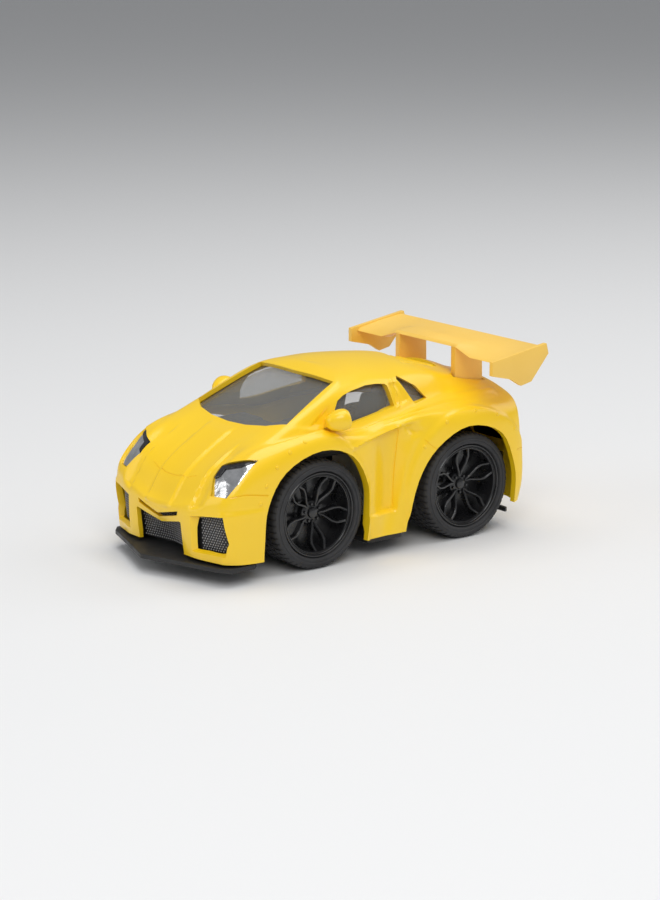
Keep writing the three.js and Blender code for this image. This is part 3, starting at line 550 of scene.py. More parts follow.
# A Principled material whose plain numbers are set on the shader itself.
def finish(name, colour, roughness, **more):
    material = bpy.data.materials.new(name)
    material.use_nodes = True
    shader = material.node_tree.nodes["Principled BSDF"]
    shader.inputs["Base Color"].default_value = (*colour, 1)
    shader.inputs["Roughness"].default_value = roughness
    for socket, value in more.items():
        shader.inputs[socket.replace("_", " ").title().replace("Ior", "IOR")].default_value = value
    return material


def texture(material, kind, scale, detail=3.0):
    nodes, links = material.node_tree.nodes, material.node_tree.links
    where = nodes.new("ShaderNodeTexCoord")
    made = nodes.new("ShaderNodeTexNoise" if kind == "NOISE" else "ShaderNodeTexVoronoi")
    made.inputs["Scale"].default_value = scale
    if "Detail" in made.inputs:
        made.inputs["Detail"].default_value = detail
    links.new(where.outputs["Object"], made.inputs["Vector"])
    return made


# Fine relief in a surface: its wave number is in waves a metre and its depth in millimetres.
def relief(material, scale, depth, strength, kind="NOISE"):
    nodes, links = material.node_tree.nodes, material.node_tree.links
    source = texture(material, kind, scale)
    bump = nodes.new("ShaderNodeBump")
    bump.inputs["Strength"].default_value = strength
    bump.inputs["Distance"].default_value = depth * MM
    links.new(source.outputs[0], bump.inputs["Height"])
    shader = nodes["Principled BSDF"]
    if shader.inputs["Normal"].is_linked:
        links.new(shader.inputs["Normal"].links[0].from_socket, bump.inputs["Normal"])
    links.new(bump.outputs["Normal"], shader.inputs["Normal"])
    return material


# Lets a colour and a roughness drift a little over a surface, as on a moulded or handled piece.
def drift(material, colour_a, colour_b, rough_a, rough_b, scale):
    nodes, links = material.node_tree.nodes, material.node_tree.links
    shader = nodes["Principled BSDF"]
    for target, low, high, wave in (
        ("Base Color", (*colour_a, 1), (*colour_b, 1), scale),
        ("Roughness", (rough_a,) * 3 + (1,), (rough_b,) * 3 + (1,), scale * 1.7),
    ):
        source = texture(material, "NOISE", wave, 4.0)
        blend = nodes.new("ShaderNodeValToRGB")
        blend.color_ramp.elements[0].position = 0.32
        blend.color_ramp.elements[0].color = low
        blend.color_ramp.elements[1].position = 0.68
        blend.color_ramp.elements[1].color = high
        links.new(source.outputs[0], blend.inputs["Fac"])
        links.new(blend.outputs["Color"], shader.inputs[target])
    return material


def paint(made, material):
    made.data.materials.clear()
    made.data.materials.append(material)


yellow_enamel = finish(
    "yellow_enamel", (0.99, 0.64, 0.008), 0.34, coat_weight=0.35, coat_roughness=0.12
)
drift(yellow_enamel, (0.985, 0.625, 0.007), (0.995, 0.65, 0.01), 0.31, 0.38, 60)
relief(yellow_enamel, 260, 0.03, 0.35)
relief(yellow_enamel, 2200, 0.004, 0.5)
paint(shell, yellow_enamel)
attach(shell, "car_body")
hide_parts("body_shell")

# ---- Rivets on the wheel arches ----
# Small round pips cast in the shell round each arch, where the real car's flares are riveted on.
# They share the shell's enamel.

# A tree with the inputs it is given, and one for the finish of its pieces.
def nodes_group(name, *inputs):
    tree = bpy.data.node_groups.new(name, "GeometryNodeTree")
    tree.interface.new_socket(name="Geometry", in_out="INPUT", socket_type="NodeSocketGeometry")
    for label, kind, value in (*inputs, ("Finish", "NodeSocketMaterial", None)):
        made = tree.interface.new_socket(name=label, in_out="INPUT", socket_type=kind)
        if value is not None:
            made.default_value = value
    tree.interface.new_socket(name="Geometry", in_out="OUTPUT", socket_type="NodeSocketGeometry")
    return tree, tree.nodes.new("NodeGroupInput"), tree.nodes.new("NodeGroupOutput")


def link_up(tree, *pairs):
    for (node, output), (other, entry) in pairs:
        tree.links.new(node.outputs[output], other.inputs[entry])


# Ends a tree: its placed pieces are made real, and take their finish.
def coated(tree, entry, place, leave):
    real = tree.nodes.new("GeometryNodeRealizeInstances")
    coat = tree.nodes.new("GeometryNodeSetMaterial")
    link_up(
        tree,
        ((place, "Instances"), (real, "Geometry")),
        ((real, "Geometry"), (coat, "Geometry")),
        ((entry, "Finish"), (coat, "Material")),
        ((coat, "Geometry"), (leave, "Geometry")),
    )
    return tree


# Runs a tree on a piece with its named inputs, and leaves the result as a plain mesh.
def dress(made, tree, **values):
    step = made.modifiers.new("dress", "NODES")
    step.node_group = tree
    for item in tree.interface.items_tree:
        if item.in_out == "INPUT" and item.name in values:
            step[item.identifier] = values[item.name]
    return settle(made)


def pips_tree():
    tree, entry, leave = nodes_group(
        "round pips",
        ("Radius", "NodeSocketFloat", 0.0004),
        ("Height", "NodeSocketFloat", 0.0002),
        ("Sides", "NodeSocketInt", 12),
    )
    new = tree.nodes.new
    ball, size = new("GeometryNodeMeshUVSphere"), new("ShaderNodeCombineXYZ")
    facing = new("GeometryNodeInputNamedAttribute")
    turn, place = new("FunctionNodeAlignRotationToVector"), new("GeometryNodeInstanceOnPoints")
    facing.data_type = "FLOAT_VECTOR"
    facing.inputs["Name"].default_value = "facing"
    turn.axis = "Z"
    ball.inputs["Rings"].default_value = 6
    ball.inputs["Radius"].default_value = 1.0
    link_up(
        tree,
        ((entry, "Sides"), (ball, "Segments")),
        ((entry, "Radius"), (size, "X")),
        ((entry, "Radius"), (size, "Y")),
        ((entry, "Height"), (size, "Z")),
        ((entry, "Geometry"), (place, "Points")),
        ((ball, "Mesh"), (place, "Instance")),
        ((size, "Vector"), (place, "Scale")),
        ((facing, "Attribute"), (turn, "Vector")),
        ((turn, "Rotation"), (place, "Rotation")),
    )
    return coated(tree, entry, place, leave)


# A piece that is only points, each with the way it faces.
def points_piece(name, spots):
    mesh = bpy.data.meshes.new(name)
    mesh.from_pydata([tuple(np.array(p) * MM) for p, _ in spots], [], [])
    facing = mesh.attributes.new("facing", "FLOAT_VECTOR", "POINT")
    facing.data.foreach_set("vector", np.array([n for _, n in spots], float).ravel())
    return linked(name, mesh)


round_pips = pips_tree()
RIVET_REACH = 19.2
FRONT_RIVETS = [18, 31, 46, 61, 76]
REAR_RIVETS = [40, 66, 95, 116, 138]
rivet_spots = []
for (axle_x, axle_z), angles in ((FRONT_AXLE, FRONT_RIVETS), (REAR_AXLE, REAR_RIVETS)):
    for degrees in angles:
        x = axle_x + RIVET_REACH * math.cos(math.radians(degrees))
        z = axle_z + RIVET_REACH * math.sin(math.radians(degrees))
        rivet_spots += [on_skin((x, 40, z), (0, -1, 0)), on_skin((x, -40, z), (0, 1, 0))]
rivets = points_piece("arch_rivets", rivet_spots)
dress(rivets, round_pips, Radius=0.52 * MM, Height=0.2 * MM, Sides=16, Finish=yellow_enamel)
rivets.data.shade_smooth()
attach(rivets, "car_body")

# ---- Glazing ----
# One smoke-grey clear moulding sits under the roof and shows through every window. It is held up
# inside the shell.
GLAZING_PLAN = [
    (27, 17, 40), (20, 18.6, 40), (-16, 18.6, 40), (-34, 9.4, 40), (-34, -9.4, 40),
    (-16, -18.6, 40), (20, -18.6, 40), (27, -17, 40),
]
GLAZING_FACE, GLAZING_BACK = WALL + 0.3, WALL + 1.1
glazing = skin_solid("window_moulding", plain_grid, plain_normals, GLAZING_FACE, 3, 6)
glazing_core = skin_solid("cutter", plain_grid, plain_normals, GLAZING_BACK, 3, 7)
carve(glazing, [glazing_core])
carve(glazing, [prism(GLAZING_PLAN, (0, 0, 1), -9.5, 10)], "INTERSECT")
sharpen(glazing, 40)
smoke = finish(
    "smoke_glazing", (0.3, 0.3, 0.285), 0.06, alpha=0.32, ior=1.5, specular_ior_level=0.6
)
relief(smoke, 90, 0.02, 0.3)
paint(glazing, smoke)
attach(glazing, "car_body")
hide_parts("window_glazing")

# ---- Headlamps ----
# Each lamp is a crinkled, vacuum-plated reflector let into the shell, with a dark brow along its
# top edge and a small bright tip.
def skin_patch(name, outline, way, outer, inner, reach=6):
    slab = skin_solid(name, plain_grid, plain_normals, outer, 3, 6)
    core = skin_solid("cutter", plain_grid, plain_normals, inner, 3, 7)
    carve(slab, [core])
    carve(slab, [prism(outline, way, -reach, reach)], "INTERSECT")
    return slab


def drawn_in(outline, gap):
    outline = np.array(outline, float)
    middle = outline.mean(axis=0)
    reach = np.linalg.norm(outline - middle, axis=1, keepdims=True)
    return middle + (outline - middle) * (reach - gap) / reach


LAMP_BROW = [
    (34.6, 22.9, 29.5), (36.6, 19.5, 28.7), (39.1, 15.7, 27.6), (41.4, 15.9, 25.1),
    (40.6, 16.9, 25.6), (38.9, 17.0, 27.0), (36.9, 20.6, 27.9),
]
lamp_plating = finish("lamp_plating", (0.86, 0.87, 0.88), 0.1, metallic=1.0)
drift(lamp_plating, (0.95, 0.95, 0.96), (0.7, 0.71, 0.72), 0.08, 0.22, 420)
relief(lamp_plating, 230, 0.2, 0.5, "VORONOI")
relief(lamp_plating, 900, 0.05, 0.5)
lamp_brow_black = finish("lamp_brow_black", (0.02, 0.02, 0.022), 0.22)
relief(lamp_brow_black, 700, 0.05, 0.4)
for side, name in ((1, "left"), (-1, "right")):
    way = lamp_way(side)
    turn = list if side > 0 else mirrored
    lamp = skin_patch("headlamp_" + name, turn(drawn_in(HEADLIGHT, 0.15)), way, 0.85, 1.9)
    sharpen(lamp, 30)
    paint(lamp, lamp_plating)
    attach(lamp, "car_body")
    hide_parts("headlight_" + name)
    brow = skin_patch("headlamp_brow_" + name, turn(LAMP_BROW), way, 0.5, 1.2)
    sharpen(brow, 30)
    paint(brow, lamp_brow_black)
    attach(brow, "car_body")

# ---- Tail lamps ----
# Two clear red lenses, ribbed on the inside, let into the tail.
tail_red = finish("tail_lens_red", (0.4, 0.004, 0.006), 0.16, coat_weight=0.2)
relief(tail_red, 520, 0.15, 0.7, "VORONOI")
for side, name in ((1, "left"), (-1, "right")):
    turn = list if side > 0 else mirrored
    outline = turn([tuple(p) for p in drawn_in(face_outline(TAIL_LIGHT, -48), 0.15)])
    lens = skin_patch("tail_lens_" + name, outline, (1, 0, 0), 0.4, 1.6, 4)
    sharpen(lens, 30)
    paint(lens, tail_red)
    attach(lens, "car_body")
    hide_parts("tail_light_" + name)

# ---- Grilles ----
# Black mouldings stand behind the nose and the tail. Their faces are covered in staggered rows of
# small pips that catch the light like a wire mesh. The pips are painted a paler grey than the
# grille, a painted highlight on the tops of the mesh.
grille_black = finish("grille_black", (0.012, 0.012, 0.013), 0.42)
relief(grille_black, 900, 0.05, 0.5)
# The pips' grey stands in for the light on their tops: a painted highlight over the black mesh.
pip_highlight_grey = finish("mesh_pip_painted_highlight", (0.3, 0.3, 0.31), 0.3, coat_weight=0.4)
relief(pip_highlight_grey, 3000, 0.01, 0.4)
GRILLE_THICKNESS = 0.9
ROW_PITCH, PIP_PITCH = 0.62, 0.72


def grille(name, node, block, inset, face_x, regions, way):
    slab = skin_solid(name, plain_grid, plain_normals, inset, 3, 6)
    core = skin_solid("cutter", plain_grid, plain_normals, inset + GRILLE_THICKNESS, 3, 7)
    carve(slab, [core])
    (x0, y0, z0), (x1, y1, z1) = block
    ends = [(x0, y0, z0), (x0, y1, z0), (x0, y1, z1), (x0, y0, z1)]
    carve(slab, [prism(ends, (1, 0, 0), 0, x1 - x0)], "INTERSECT")
    sharpen(slab, 30)
    tree = BVHTree.FromObject(slab, bpy.context.evaluated_depsgraph_get())
    spots = []
    for (ya, yb), (za, zb) in regions:
        for row, z in enumerate(np.arange(za, zb, ROW_PITCH)):
            for y in np.arange(ya + PIP_PITCH / 2 * (row % 2), yb, PIP_PITCH):
                hit, normal, _, _ = tree.ray_cast(Vector((face_x, y, z)) * MM, Vector(way))
                if hit:
                    spots.append((np.array(hit) / MM, np.array(normal)))
    pips = points_piece(name + "_pips", spots)
    dress(pips, round_pips, Radius=0.21 * MM, Height=0.22 * MM, Sides=6, Finish=pip_highlight_grey)
    pips.data.shade_smooth()
    paint(slab, grille_black)
    for made in (slab, pips):
        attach(made, "car_body")
    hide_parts(node)


grille(
    "nose_mesh", "front_grille", ((38.5, -23.6, 6.0), (50, 23.6, 18.4)), WALL + 1.0, 60,
    [
        ((-9.4, 9.4), (6.4, 13.6)), ((14.5, 24), (8, 17)), ((-24, -14.5), (8, 17)),
        ((-8.4, 8.4), (13.8, 15.9)),
    ],
    (-1, 0, 0),
)
grille(
    "tail_mesh", "rear_grille", ((-51, -17, 8.6), (-44, 17, 18.4)), WALL + 0.6, -60,
    [((-15.4, 15.4), (9.6, 17.4))], (1, 0, 0),
)


# Makes one piece of several.
def merge(name, parts):
    work = bmesh.new()
    for part in parts:
        work.from_mesh(part.data)
        bpy.data.objects.remove(part)
    mesh = bpy.data.meshes.new(name)
    work.to_mesh(mesh)
    work.free()
    return linked(name, mesh)


INTAKE_BACKING = [(35.5, 13.2, 6.4), (35.5, 13.2, 17.6), (35.5, 21.4, 17.6), (35.5, 21.4, 6.4)]
plates = [prism(turn(INTAKE_BACKING), (1, 0, 0), 0, 2) for turn in (list, mirrored)]
backing = merge("intake_backing", plates)
sharpen(backing, 30)
paint(backing, grille_black)
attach(backing, "car_body")

# ---- Cabin ----
# A dark grey tray behind the glazing carries the dashboard, a steering wheel and two bucket seats.
cabin_grey = finish("cabin_grey", (0.07, 0.071, 0.075), 0.55)
relief(cabin_grey, 1400, 0.03, 0.5)


def rounded_block(name, corners_low, corners_high, taper=1.0, lean=0.0):
    (x0, y0, z0), (x1, y1, z1) = corners_low, corners_high
    cx, cy = (x0 + x1) / 2, (y0 + y1) / 2
    points = []
    for z, k in ((z0, 1.0), (z1, taper)):
        for x, y in ((x0, y0), (x1, y0), (x1, y1), (x0, y1)):
            points.append((cx + (x - cx) * k + (lean if z == z1 else 0), cy + (y - cy) * k, z))
    made = new_piece(name, points, [(3, 2, 1, 0), (4, 5, 6, 7)] + sleeve(2, 4))
    bevel = made.modifiers.new("round", "BEVEL")
    bevel.width = 0.7 * MM
    bevel.segments = 3
    bevel.limit_method = "NONE"
    return settle(made)


# Turns a closed or open [radius, y] profile about the y axis.
def turned(name, profile, sides, closed=True):
    points = [
        (r * math.cos(2 * math.pi * k / sides), y, r * math.sin(2 * math.pi * k / sides))
        for k in range(sides)
        for r, y in profile
    ]
    return new_piece(name, points, sleeve(sides, len(profile), True, closed))


cabin_parts = [
    rounded_block("floor", (-9, -12, 23.6), (23, 12, 25.0)),
    rounded_block("dash", (12.4, -14.6, 24.8), (22.8, 14.6, 31.2), 0.94, -0.6),
    rounded_block("hood_left", (12.0, 3.4, 30.4), (19.4, 12.8, 32.5), 0.8, -0.6),
    rounded_block("hood_right", (12.6, -12.6, 30.2), (19.4, -2.6, 31.9), 0.8, -0.6),
    rounded_block("tunnel", (-9, -2.2, 24.8), (12.6, 2.2, 28.4), 0.9),
    rounded_block("shelf", (-16, -14, 28.6), (-9.6, 14, 30.0)),
]
for y in (-8.0, 8.0):
    cabin_parts += [
        rounded_block("seat", (-9, y - 4.6, 24.8), (1.4, y + 4.6, 28.2), 0.94),
        rounded_block("back", (-12.0, y - 4.4, 27.6), (-8.4, y + 4.4, 36.2), 0.86, -2.6),
        rounded_block("headrest", (-15.2, y - 2.2, 35.8), (-12.6, y + 2.2, 38.4), 0.84, -0.3),
    ]
WHEEL_RADIUS, WHEEL_GRIP = 2.75, 0.28
wheel_profile = [
    (WHEEL_RADIUS + WHEEL_GRIP * math.cos(a), WHEEL_GRIP * math.sin(a))
    for a in np.linspace(0, 2 * math.pi, 9)[:-1]
]
steering = turned("steering", wheel_profile, 28)
tilt = Matrix.Rotation(math.radians(62), 4, "Y") @ Matrix.Rotation(math.radians(90), 4, "X")
steering.data.transform(Matrix.Translation((9.6 * MM, 8 * MM, 31.2 * MM)) @ tilt)
cabin_parts.append(steering)
cabin_parts.append(rounded_block("column", (9.4, 7.3, 30.4), (12.8, 8.7, 31.8)))
cabin = merge("cabin_moulding", cabin_parts)
sharpen(cabin, 35)
paint(cabin, cabin_grey)
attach(cabin, "car_body")
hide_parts("cabin_interior")

# ---- Rear wing ----
# A separate satin moulding in a slightly paler, warmer yellow. Its two pillars plug into the rear
# deck.
def softened(node, name, width, segments=2):
    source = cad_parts[node]
    work = bmesh.new()
    work.from_mesh(source.data)
    work.transform(source.matrix_world)
    bmesh.ops.remove_doubles(work, verts=work.verts, dist=4e-6)
    flat = math.radians(1.0)
    bmesh.ops.dissolve_limit(work, angle_limit=flat, verts=work.verts, edges=work.edges)
    mesh = bpy.data.meshes.new(name)
    work.to_mesh(mesh)
    work.free()
    made = linked(name, mesh)
    bevel = made.modifiers.new("soften", "BEVEL")
    bevel.width = width * MM
    bevel.segments = segments
    bevel.limit_method = "ANGLE"
    bevel.angle_limit = math.radians(30)
    bevel.use_clamp_overlap = True
    settle(made)
    sharpen(made, 50)
    return made


wing_satin = finish("wing_satin_yellow", (0.95, 0.6, 0.11), 0.42)
drift(wing_satin, (0.93, 0.58, 0.1), (0.97, 0.62, 0.12), 0.38, 0.48, 70)
relief(wing_satin, 1500, 0.006, 0.5)
wing = softened("rear_wing", "wing_moulding", 0.35, 3)
paint(wing, wing_satin)
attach(wing, "car_body")
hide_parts("rear_wing")

# ---- Chassis ----
# A black injection moulding closes the car from below. It carries the splitter, the walls of the
# wheel wells, the front axle's saddles, ribs and the two screws that hold the shell on.
chassis_black = finish("chassis_black", (0.016, 0.016, 0.017), 0.5)
drift(chassis_black, (0.014, 0.014, 0.015), (0.022, 0.022, 0.023), 0.42, 0.6, 120)
relief(chassis_black, 1800, 0.02, 0.6)
chassis = softened("chassis_plate", "chassis_moulding", 0.3)
paint(chassis, chassis_black)
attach(chassis, "car_body")
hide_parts("chassis_plate")


def row_tree():
    tree, entry, leave = nodes_group(
        "row of pieces", ("Count", "NodeSocketInt", 4), ("Step", "NodeSocketVector", None)
    )
    new = tree.nodes.new
    line, place = new("GeometryNodeMeshLine"), new("GeometryNodeInstanceOnPoints")
    link_up(
        tree,
        ((entry, "Count"), (line, "Count")),
        ((entry, "Step"), (line, "Offset")),
        ((line, "Mesh"), (place, "Points")),
        ((entry, "Geometry"), (place, "Instance")),
    )
    return coated(tree, entry, place, leave)


row_of = row_tree()
ribs = rounded_block("belly_ribs", (-6.6, -9.5, 3.15), (-5.9, 9.5, 3.75))
dress(ribs, row_of, Count=7, Step=(3.4 * MM, 0, 0), Finish=chassis_black)
sharpen(ribs, 35)
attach(ribs, "car_body")

# Ejector pins leave flat round marks on the belly, in two rows and at the four corners.
EJECTOR_MARKS = [(x, y) for y in (-8.4, 8.4) for x in (38, 22, -14, -26, -38)]
EJECTOR_MARKS += [(40, -19), (40, 19), (-4, -17), (-4, 17)]
BELLY = 3.6
marks = points_piece("ejector_marks", [((x, y, BELLY), (0, 0, -1)) for x, y in EJECTOR_MARKS])
dress(marks, round_pips, Radius=1.1 * MM, Height=0.07 * MM, Sides=20, Finish=chassis_black)
marks.data.shade_smooth()
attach(marks, "car_body")

# The screws are steel, with round heads and cross recesses.
steel = finish("plated_steel", (0.52, 0.52, 0.53), 0.28, metallic=1.0)
relief(steel, 2500, 0.01, 0.6)
SCREW_PROFILE = [
    (0, 3.55), (1.2, 3.56), (1.75, 3.72), (1.9, 4.0), (1.9, 4.15), (0.8, 4.2), (0.8, 12.6),
    (0, 13.0),
]
screw_parts = []
for x, y in POSTS:
    screw = turned("screw", SCREW_PROFILE, 32, closed=False)
    upright = Matrix.Rotation(math.radians(90), 4, "X")
    screw.data.transform(Matrix.Translation((x * MM, y * MM, 0)) @ upright)
    for a, b in ((1.1, 0.2), (0.2, 1.1)):
        slot = [(x - a, y - b, 3.0), (x + a, y - b, 3.0), (x + a, y + b, 3.0), (x - a, y + b, 3.0)]
        carve(screw, [prism(slot, (0, 0, 1), 0, 1.0)])
    screw_parts.append(screw)
screws = merge("chassis_screws", screw_parts)
sharpen(screws, 35)
paint(screws, steel)
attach(screws, "car_body")
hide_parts("front_screw", "rear_screw")

# ---- Engine cover slats ----
# Four thin cast slats bridge the rear window, as on a mid-engined car.
slat = rounded_block("deck_slats", (-23.9, -7.6, 42.1), (-22.3, 7.6, 42.9), 0.9)
dress(slat, row_of, Count=4, Step=(-2.9 * MM, 0, -0.62 * MM), Finish=yellow_enamel)
sharpen(slat, 35)
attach(slat, "car_body")

# ---- Motor ----
# The pull-back motor is a white nylon box of two halves round a gear train and a steel mainspring.
white_nylon = finish("white_nylon", (0.78, 0.76, 0.7), 0.45, subsurface_weight=0.1)
relief(white_nylon, 1500, 0.02, 0.4)
spring_steel = finish("blued_spring_steel", (0.25, 0.26, 0.3), 0.25, metallic=1.0)
relief(spring_steel, 2200, 0.01, 0.5)
for node in ("motor_case_left", "motor_case_right"):
    half = softened(node, node + "_moulding", 0.25)
    paint(half, white_nylon)
    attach(half, "car_body")
    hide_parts(node)
for node in ("clutch_gear", "spring_drum_gear", "spring_barrel", "axle_pinion"):
    paint(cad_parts[node], white_nylon)
for node in ("clutch_pin", "front_axle", "rear_axle"):
    paint(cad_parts[node], steel)
paint(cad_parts["mainspring"], spring_steel)

# ---- Tyres ----
# Soft black rubber, with a raised ring on the sidewall and blocks cut round both shoulders.
TREAD_COUNT = 52
TYRE_MIDDLE = 18.3
TYRE_PROFILE = [
    (10.5, 14.0), (10.9, 13.5), (11.6, 13.25), (12.3, 13.2), (12.75, 13.45), (13.0, 14.0),
    (13.05, 15.0), (13.05, 17.9), (12.8, 18.0), (12.8, 18.6), (13.05, 18.7), (13.05, 21.6),
    (13.0, 22.6), (12.75, 23.1), (12.4, 23.32), (12.05, 23.38), (11.98, 23.56), (11.8, 23.6),
    (11.62, 23.56), (11.55, 23.4), (11.2, 23.42), (10.95, 23.5), (10.75, 23.42), (10.6, 23.15),
    (10.5, 22.8),
]


def ring_tree():
    tree, entry, leave = nodes_group(
        "ring of pieces", ("Count", "NodeSocketInt", 5), ("Start", "NodeSocketFloat", 0.0)
    )
    new = tree.nodes.new
    spots, index = new("GeometryNodePoints"), new("GeometryNodeInputIndex")
    share, whole, added = (new("ShaderNodeMath") for _ in range(3))
    angles, turn = new("ShaderNodeCombineXYZ"), new("FunctionNodeEulerToRotation")
    place = new("GeometryNodeInstanceOnPoints")
    share.operation, whole.operation, added.operation = "DIVIDE", "MULTIPLY", "ADD"
    whole.inputs[1].default_value = 2 * math.pi
    link_up(
        tree,
        ((entry, "Count"), (spots, "Count")),
        ((index, "Index"), (share, 0)),
        ((entry, "Count"), (share, 1)),
        ((share, 0), (whole, 0)),
        ((whole, 0), (added, 0)),
        ((entry, "Start"), (added, 1)),
        ((added, 0), (angles, "Y")),
        ((angles, "Vector"), (turn, "Euler")),
        ((spots, 0), (place, "Points")),
        ((entry, "Geometry"), (place, "Instance")),
        ((turn, "Rotation"), (place, "Rotation")),
    )
    return coated(tree, entry, place, leave)


ring_of = ring_tree()
tyre_rubber = finish("tyre_rubber", (0.03, 0.03, 0.032), 0.62, specular_ior_level=0.4)
drift(tyre_rubber, (0.026, 0.026, 0.028), (0.04, 0.04, 0.042), 0.55, 0.72, 150)
relief(tyre_rubber, 1600, 0.03, 0.6)

# One pitch of the tread: [radius, y] sections, each with a half width and an offset round the tyre.
SHOULDER_BLOCK = [
    (12.6, 20.4), (13.26, 20.4), (13.26, 22.2), (13.14, 22.7), (12.86, 23.12), (12.55, 23.32),
    (12.4, 23.0),
]
CENTRE_BLOCK = [(12.6, 18.8), (13.26, 18.8), (13.26, 20.0), (12.6, 20.0)]


def tread_block(section, half_width, offset):
    turns = [(offset + side * half_width) * 2 * math.pi / TREAD_COUNT for side in (-1, 1)]
    points = [(r * math.cos(a), y, r * math.sin(a)) for a in turns for r, y in section]
    return new_piece("block", points, prism_faces(len(section)))


def other_shoulder(section):
    return [(r, 2 * TYRE_MIDDLE - y) for r, y in section]


tread = merge("tread", [
    tread_block(SHOULDER_BLOCK, 0.37, 0),
    tread_block(CENTRE_BLOCK, 0.36, 0.5),
    tread_block(other_shoulder(CENTRE_BLOCK), 0.36, 0),
    tread_block(other_shoulder(SHOULDER_BLOCK), 0.37, 0.5),
])
dress(tread, ring_of, Count=TREAD_COUNT, Start=0.0, Finish=tyre_rubber)
tyre = turned("tyre", TYRE_PROFILE, 144)
sharpen(tyre, 28)
paint(tyre, tyre_rubber)


def twin_of(source, name):
    return linked(name, source.data.copy())


# Copies a wheel's piece from its place on the y axis to one corner of the car.
def at_corner(source, name, end, side):
    axle_x, axle_z = FRONT_AXLE if end == "front" else REAR_AXLE
    made = twin_of(source, f"{name}_{end}_{side}")
    if side == "right":
        made.data.transform(Matrix.Scale(-1, 4, (0, 1, 0)))
        made.data.flip_normals()
    made.data.transform(Matrix.Translation((axle_x * MM, 0, axle_z * MM)))
    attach(made, end + "_wheels")
    return made


CORNERS = [(end, side) for end in ("front", "rear") for side in ("left", "right")]
for end, side in CORNERS:
    casing = at_corner(tyre, "tyre_casing", end, side)
    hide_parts(f"tyre_{end}_{side}")
    at_corner(tread, "tyre_tread", end, side)

# ---- Wheels ----
# Satin black plastic rims with a deep dish. Five thin looped spokes run from the hub to a double
# ring, round a cap and a circle of small nuts.
rim_black = finish("rim_black", (0.008, 0.008, 0.009), 0.28, coat_weight=0.3, coat_roughness=0.15)
drift(rim_black, (0.007, 0.007, 0.008), (0.011, 0.011, 0.012), 0.24, 0.33, 200)
relief(rim_black, 1500, 0.01, 0.4)
BARREL = [
    (10.45, 14.2), (10.45, 22.7), (10.38, 22.95), (10.2, 23.1), (9.95, 23.08), (9.82, 22.9),
    (9.78, 22.55), (9.66, 22.4), (9.5, 22.42), (9.38, 22.55), (9.2, 22.5), (9.1, 22.2), (9.0, 21.0),
    (8.9, 18.0), (8.9, 14.2),
]
HUB = [
    (0, 20.95), (0.9, 20.93), (1.2, 20.8), (1.32, 20.55), (1.36, 20.2), (1.75, 20.12), (2.3, 20.0),
    (2.75, 19.8), (2.95, 19.4), (3.0, 18.3), (3.4, 17.9), (8.95, 17.7), (8.95, 17.1), (2.4, 17.1),
    (2.4, 15.0), (1.1, 15.0), (1.1, 17.8), (0, 17.9),
]
LOOP_HALF = [
    (1.9, 0.0), (2.2, 0.24), (3.1, 0.42), (3.3, 0.5), (5.4, 1.5), (5.7, 1.62), (6.9, 1.86),
    (7.2, 1.84), (9.1, 1.3), (9.3, 1.15), (9.72, 0.3), (9.76, 0.0),
]
NUT = [(0, 20.62), (0.3, 20.6), (0.38, 20.45), (0.38, 19.9), (0, 19.9)]
SPOKE_START, SPOKE_RUN = 1.7, 8.05
SPOKE_FOOT, SPOKE_RISE = 20.35, 2.1
SPOKE_SECTION = [(-0.3, -1.7), (-0.3, -0.2), (-0.16, 0.0), (0.16, 0.0), (0.3, -0.2), (0.3, -1.7)]


def spoke_height(r):
    return SPOKE_FOOT + SPOKE_RISE * (r - SPOKE_START) / SPOKE_RUN


def spoke_loop():
    half = np.array(LOOP_HALF)
    path = np.concatenate([half, half[-2:0:-1] * [1, -1]])
    ahead = np.roll(path, -1, axis=0) - np.roll(path, 1, axis=0)
    ahead /= np.linalg.norm(ahead, axis=1, keepdims=True)
    points = []
    for (r, t), (dr, dt) in zip(path, ahead):
        for across, depth in SPOKE_SECTION:
            points.append((r - dt * across, spoke_height(r) + depth, t + dr * across))
    return new_piece("spokes", points, sleeve(len(path), len(SPOKE_SECTION), True))


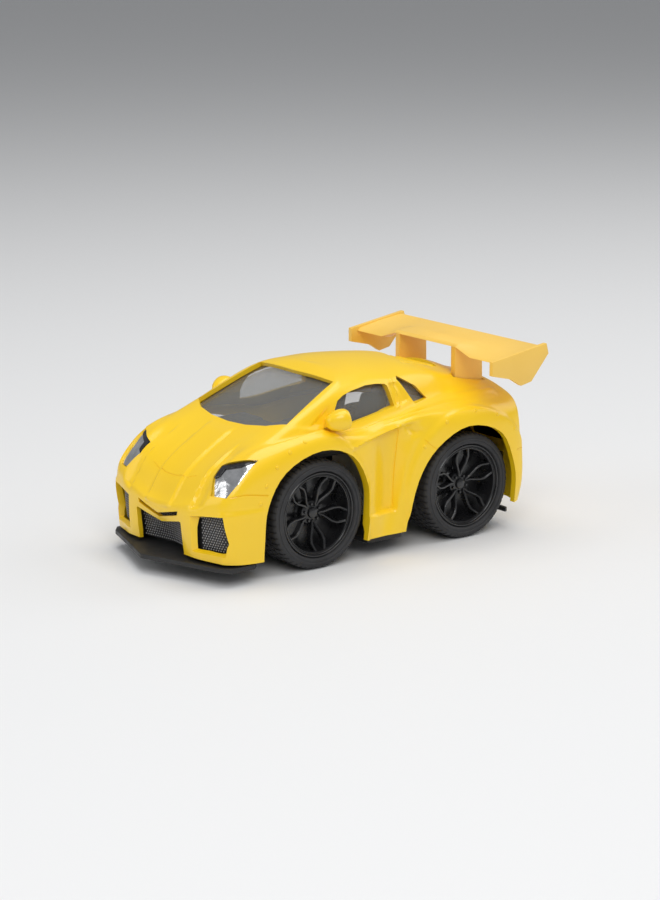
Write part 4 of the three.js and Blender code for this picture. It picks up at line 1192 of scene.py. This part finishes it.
barrel = turned("rim_barrel", BARREL, 128)
hub = turned("rim_hub", HUB, 64, closed=False)
nut = turned("nut", NUT, 6, closed=False)
nut.data.transform(Matrix.Translation((2.15 * MM, 0, 0)))
SPOKES = 5
FIRST_SPOKE = {"front": -24.8, "rear": 16.2}
for end, side in CORNERS:
    start = -math.radians(FIRST_SPOKE[end])
    spokes = spoke_loop()
    dress(spokes, ring_of, Count=SPOKES, Start=start, Finish=rim_black)
    nuts = twin_of(nut, "nuts")
    start = -math.radians(FIRST_SPOKE[end] + 180 / SPOKES)
    dress(nuts, ring_of, Count=SPOKES, Start=start, Finish=rim_black)
    whole = merge("wheel", [twin_of(barrel, "barrel"), twin_of(hub, "hub"), spokes, nuts])
    sharpen(whole, 30)
    paint(whole, rim_black)
    rim = at_corner(whole, "rim_moulding", end, side)
    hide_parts(f"rim_{end}_{side}")
    bpy.data.objects.remove(whole)
for spare in (barrel, hub, nut, tyre, tread):
    bpy.data.objects.remove(spare)

# ---- Studio ----
# A pale sweep under soft lamps. The camera looks down on the car's left front corner.
floor_finish = finish("studio_floor", (0.82, 0.82, 0.82), 0.7)
relief(floor_finish, 30, 0.02, 0.2)
FLOOR_REACH = 4000
around = ((-1, -1), (1, -1), (1, 1), (-1, 1))
floor_edge = [(a * FLOOR_REACH, b * FLOOR_REACH, 0) for a, b in around]
floor = new_piece("studio_floor", floor_edge, [(0, 1, 2, 3)])
paint(floor, floor_finish)
LAMPS = [
    ("key", (0.35, 0.55, 0.6), 0.5, 2.9),
    ("top", (-0.1, 0.0, 0.8), 0.7, 3.6),
    ("fill", (0.7, -0.35, 0.35), 0.5, 1.0),
    ("rear", (-0.7, 0.2, 0.45), 0.5, 1.2),
]
for name, place, size, power in LAMPS:
    lamp = linked(name, bpy.data.lights.new(name, "AREA"))
    lamp.data.shape = "SQUARE"
    lamp.data.size = size
    lamp.data.energy = power
    lamp.location = place
    lamp.rotation_euler = (Vector((0, 0, 0.02)) - Vector(place)).to_track_quat("-Z", "Y").to_euler()
scene = bpy.context.scene
world = bpy.data.worlds.new("studio")
world.use_nodes = True
world.node_tree.nodes["Background"].inputs["Color"].default_value = (0.9, 0.92, 0.95, 1)
world.node_tree.nodes["Background"].inputs["Strength"].default_value = 0.3
scene.world = world
scene.view_settings.view_transform = "Standard"

camera = linked("camera", bpy.data.cameras.new("camera"))
camera.data.sensor_width = 36
camera.data.lens = 103.6
camera.data.clip_start = 0.01
camera.location = (0.3756, 0.4954, 0.1721)
camera.rotation_euler = Vector((-0.5924, -0.7709, -0.2341)).to_track_quat("-Z", "Y").to_euler()
bpy.context.scene.camera = camera
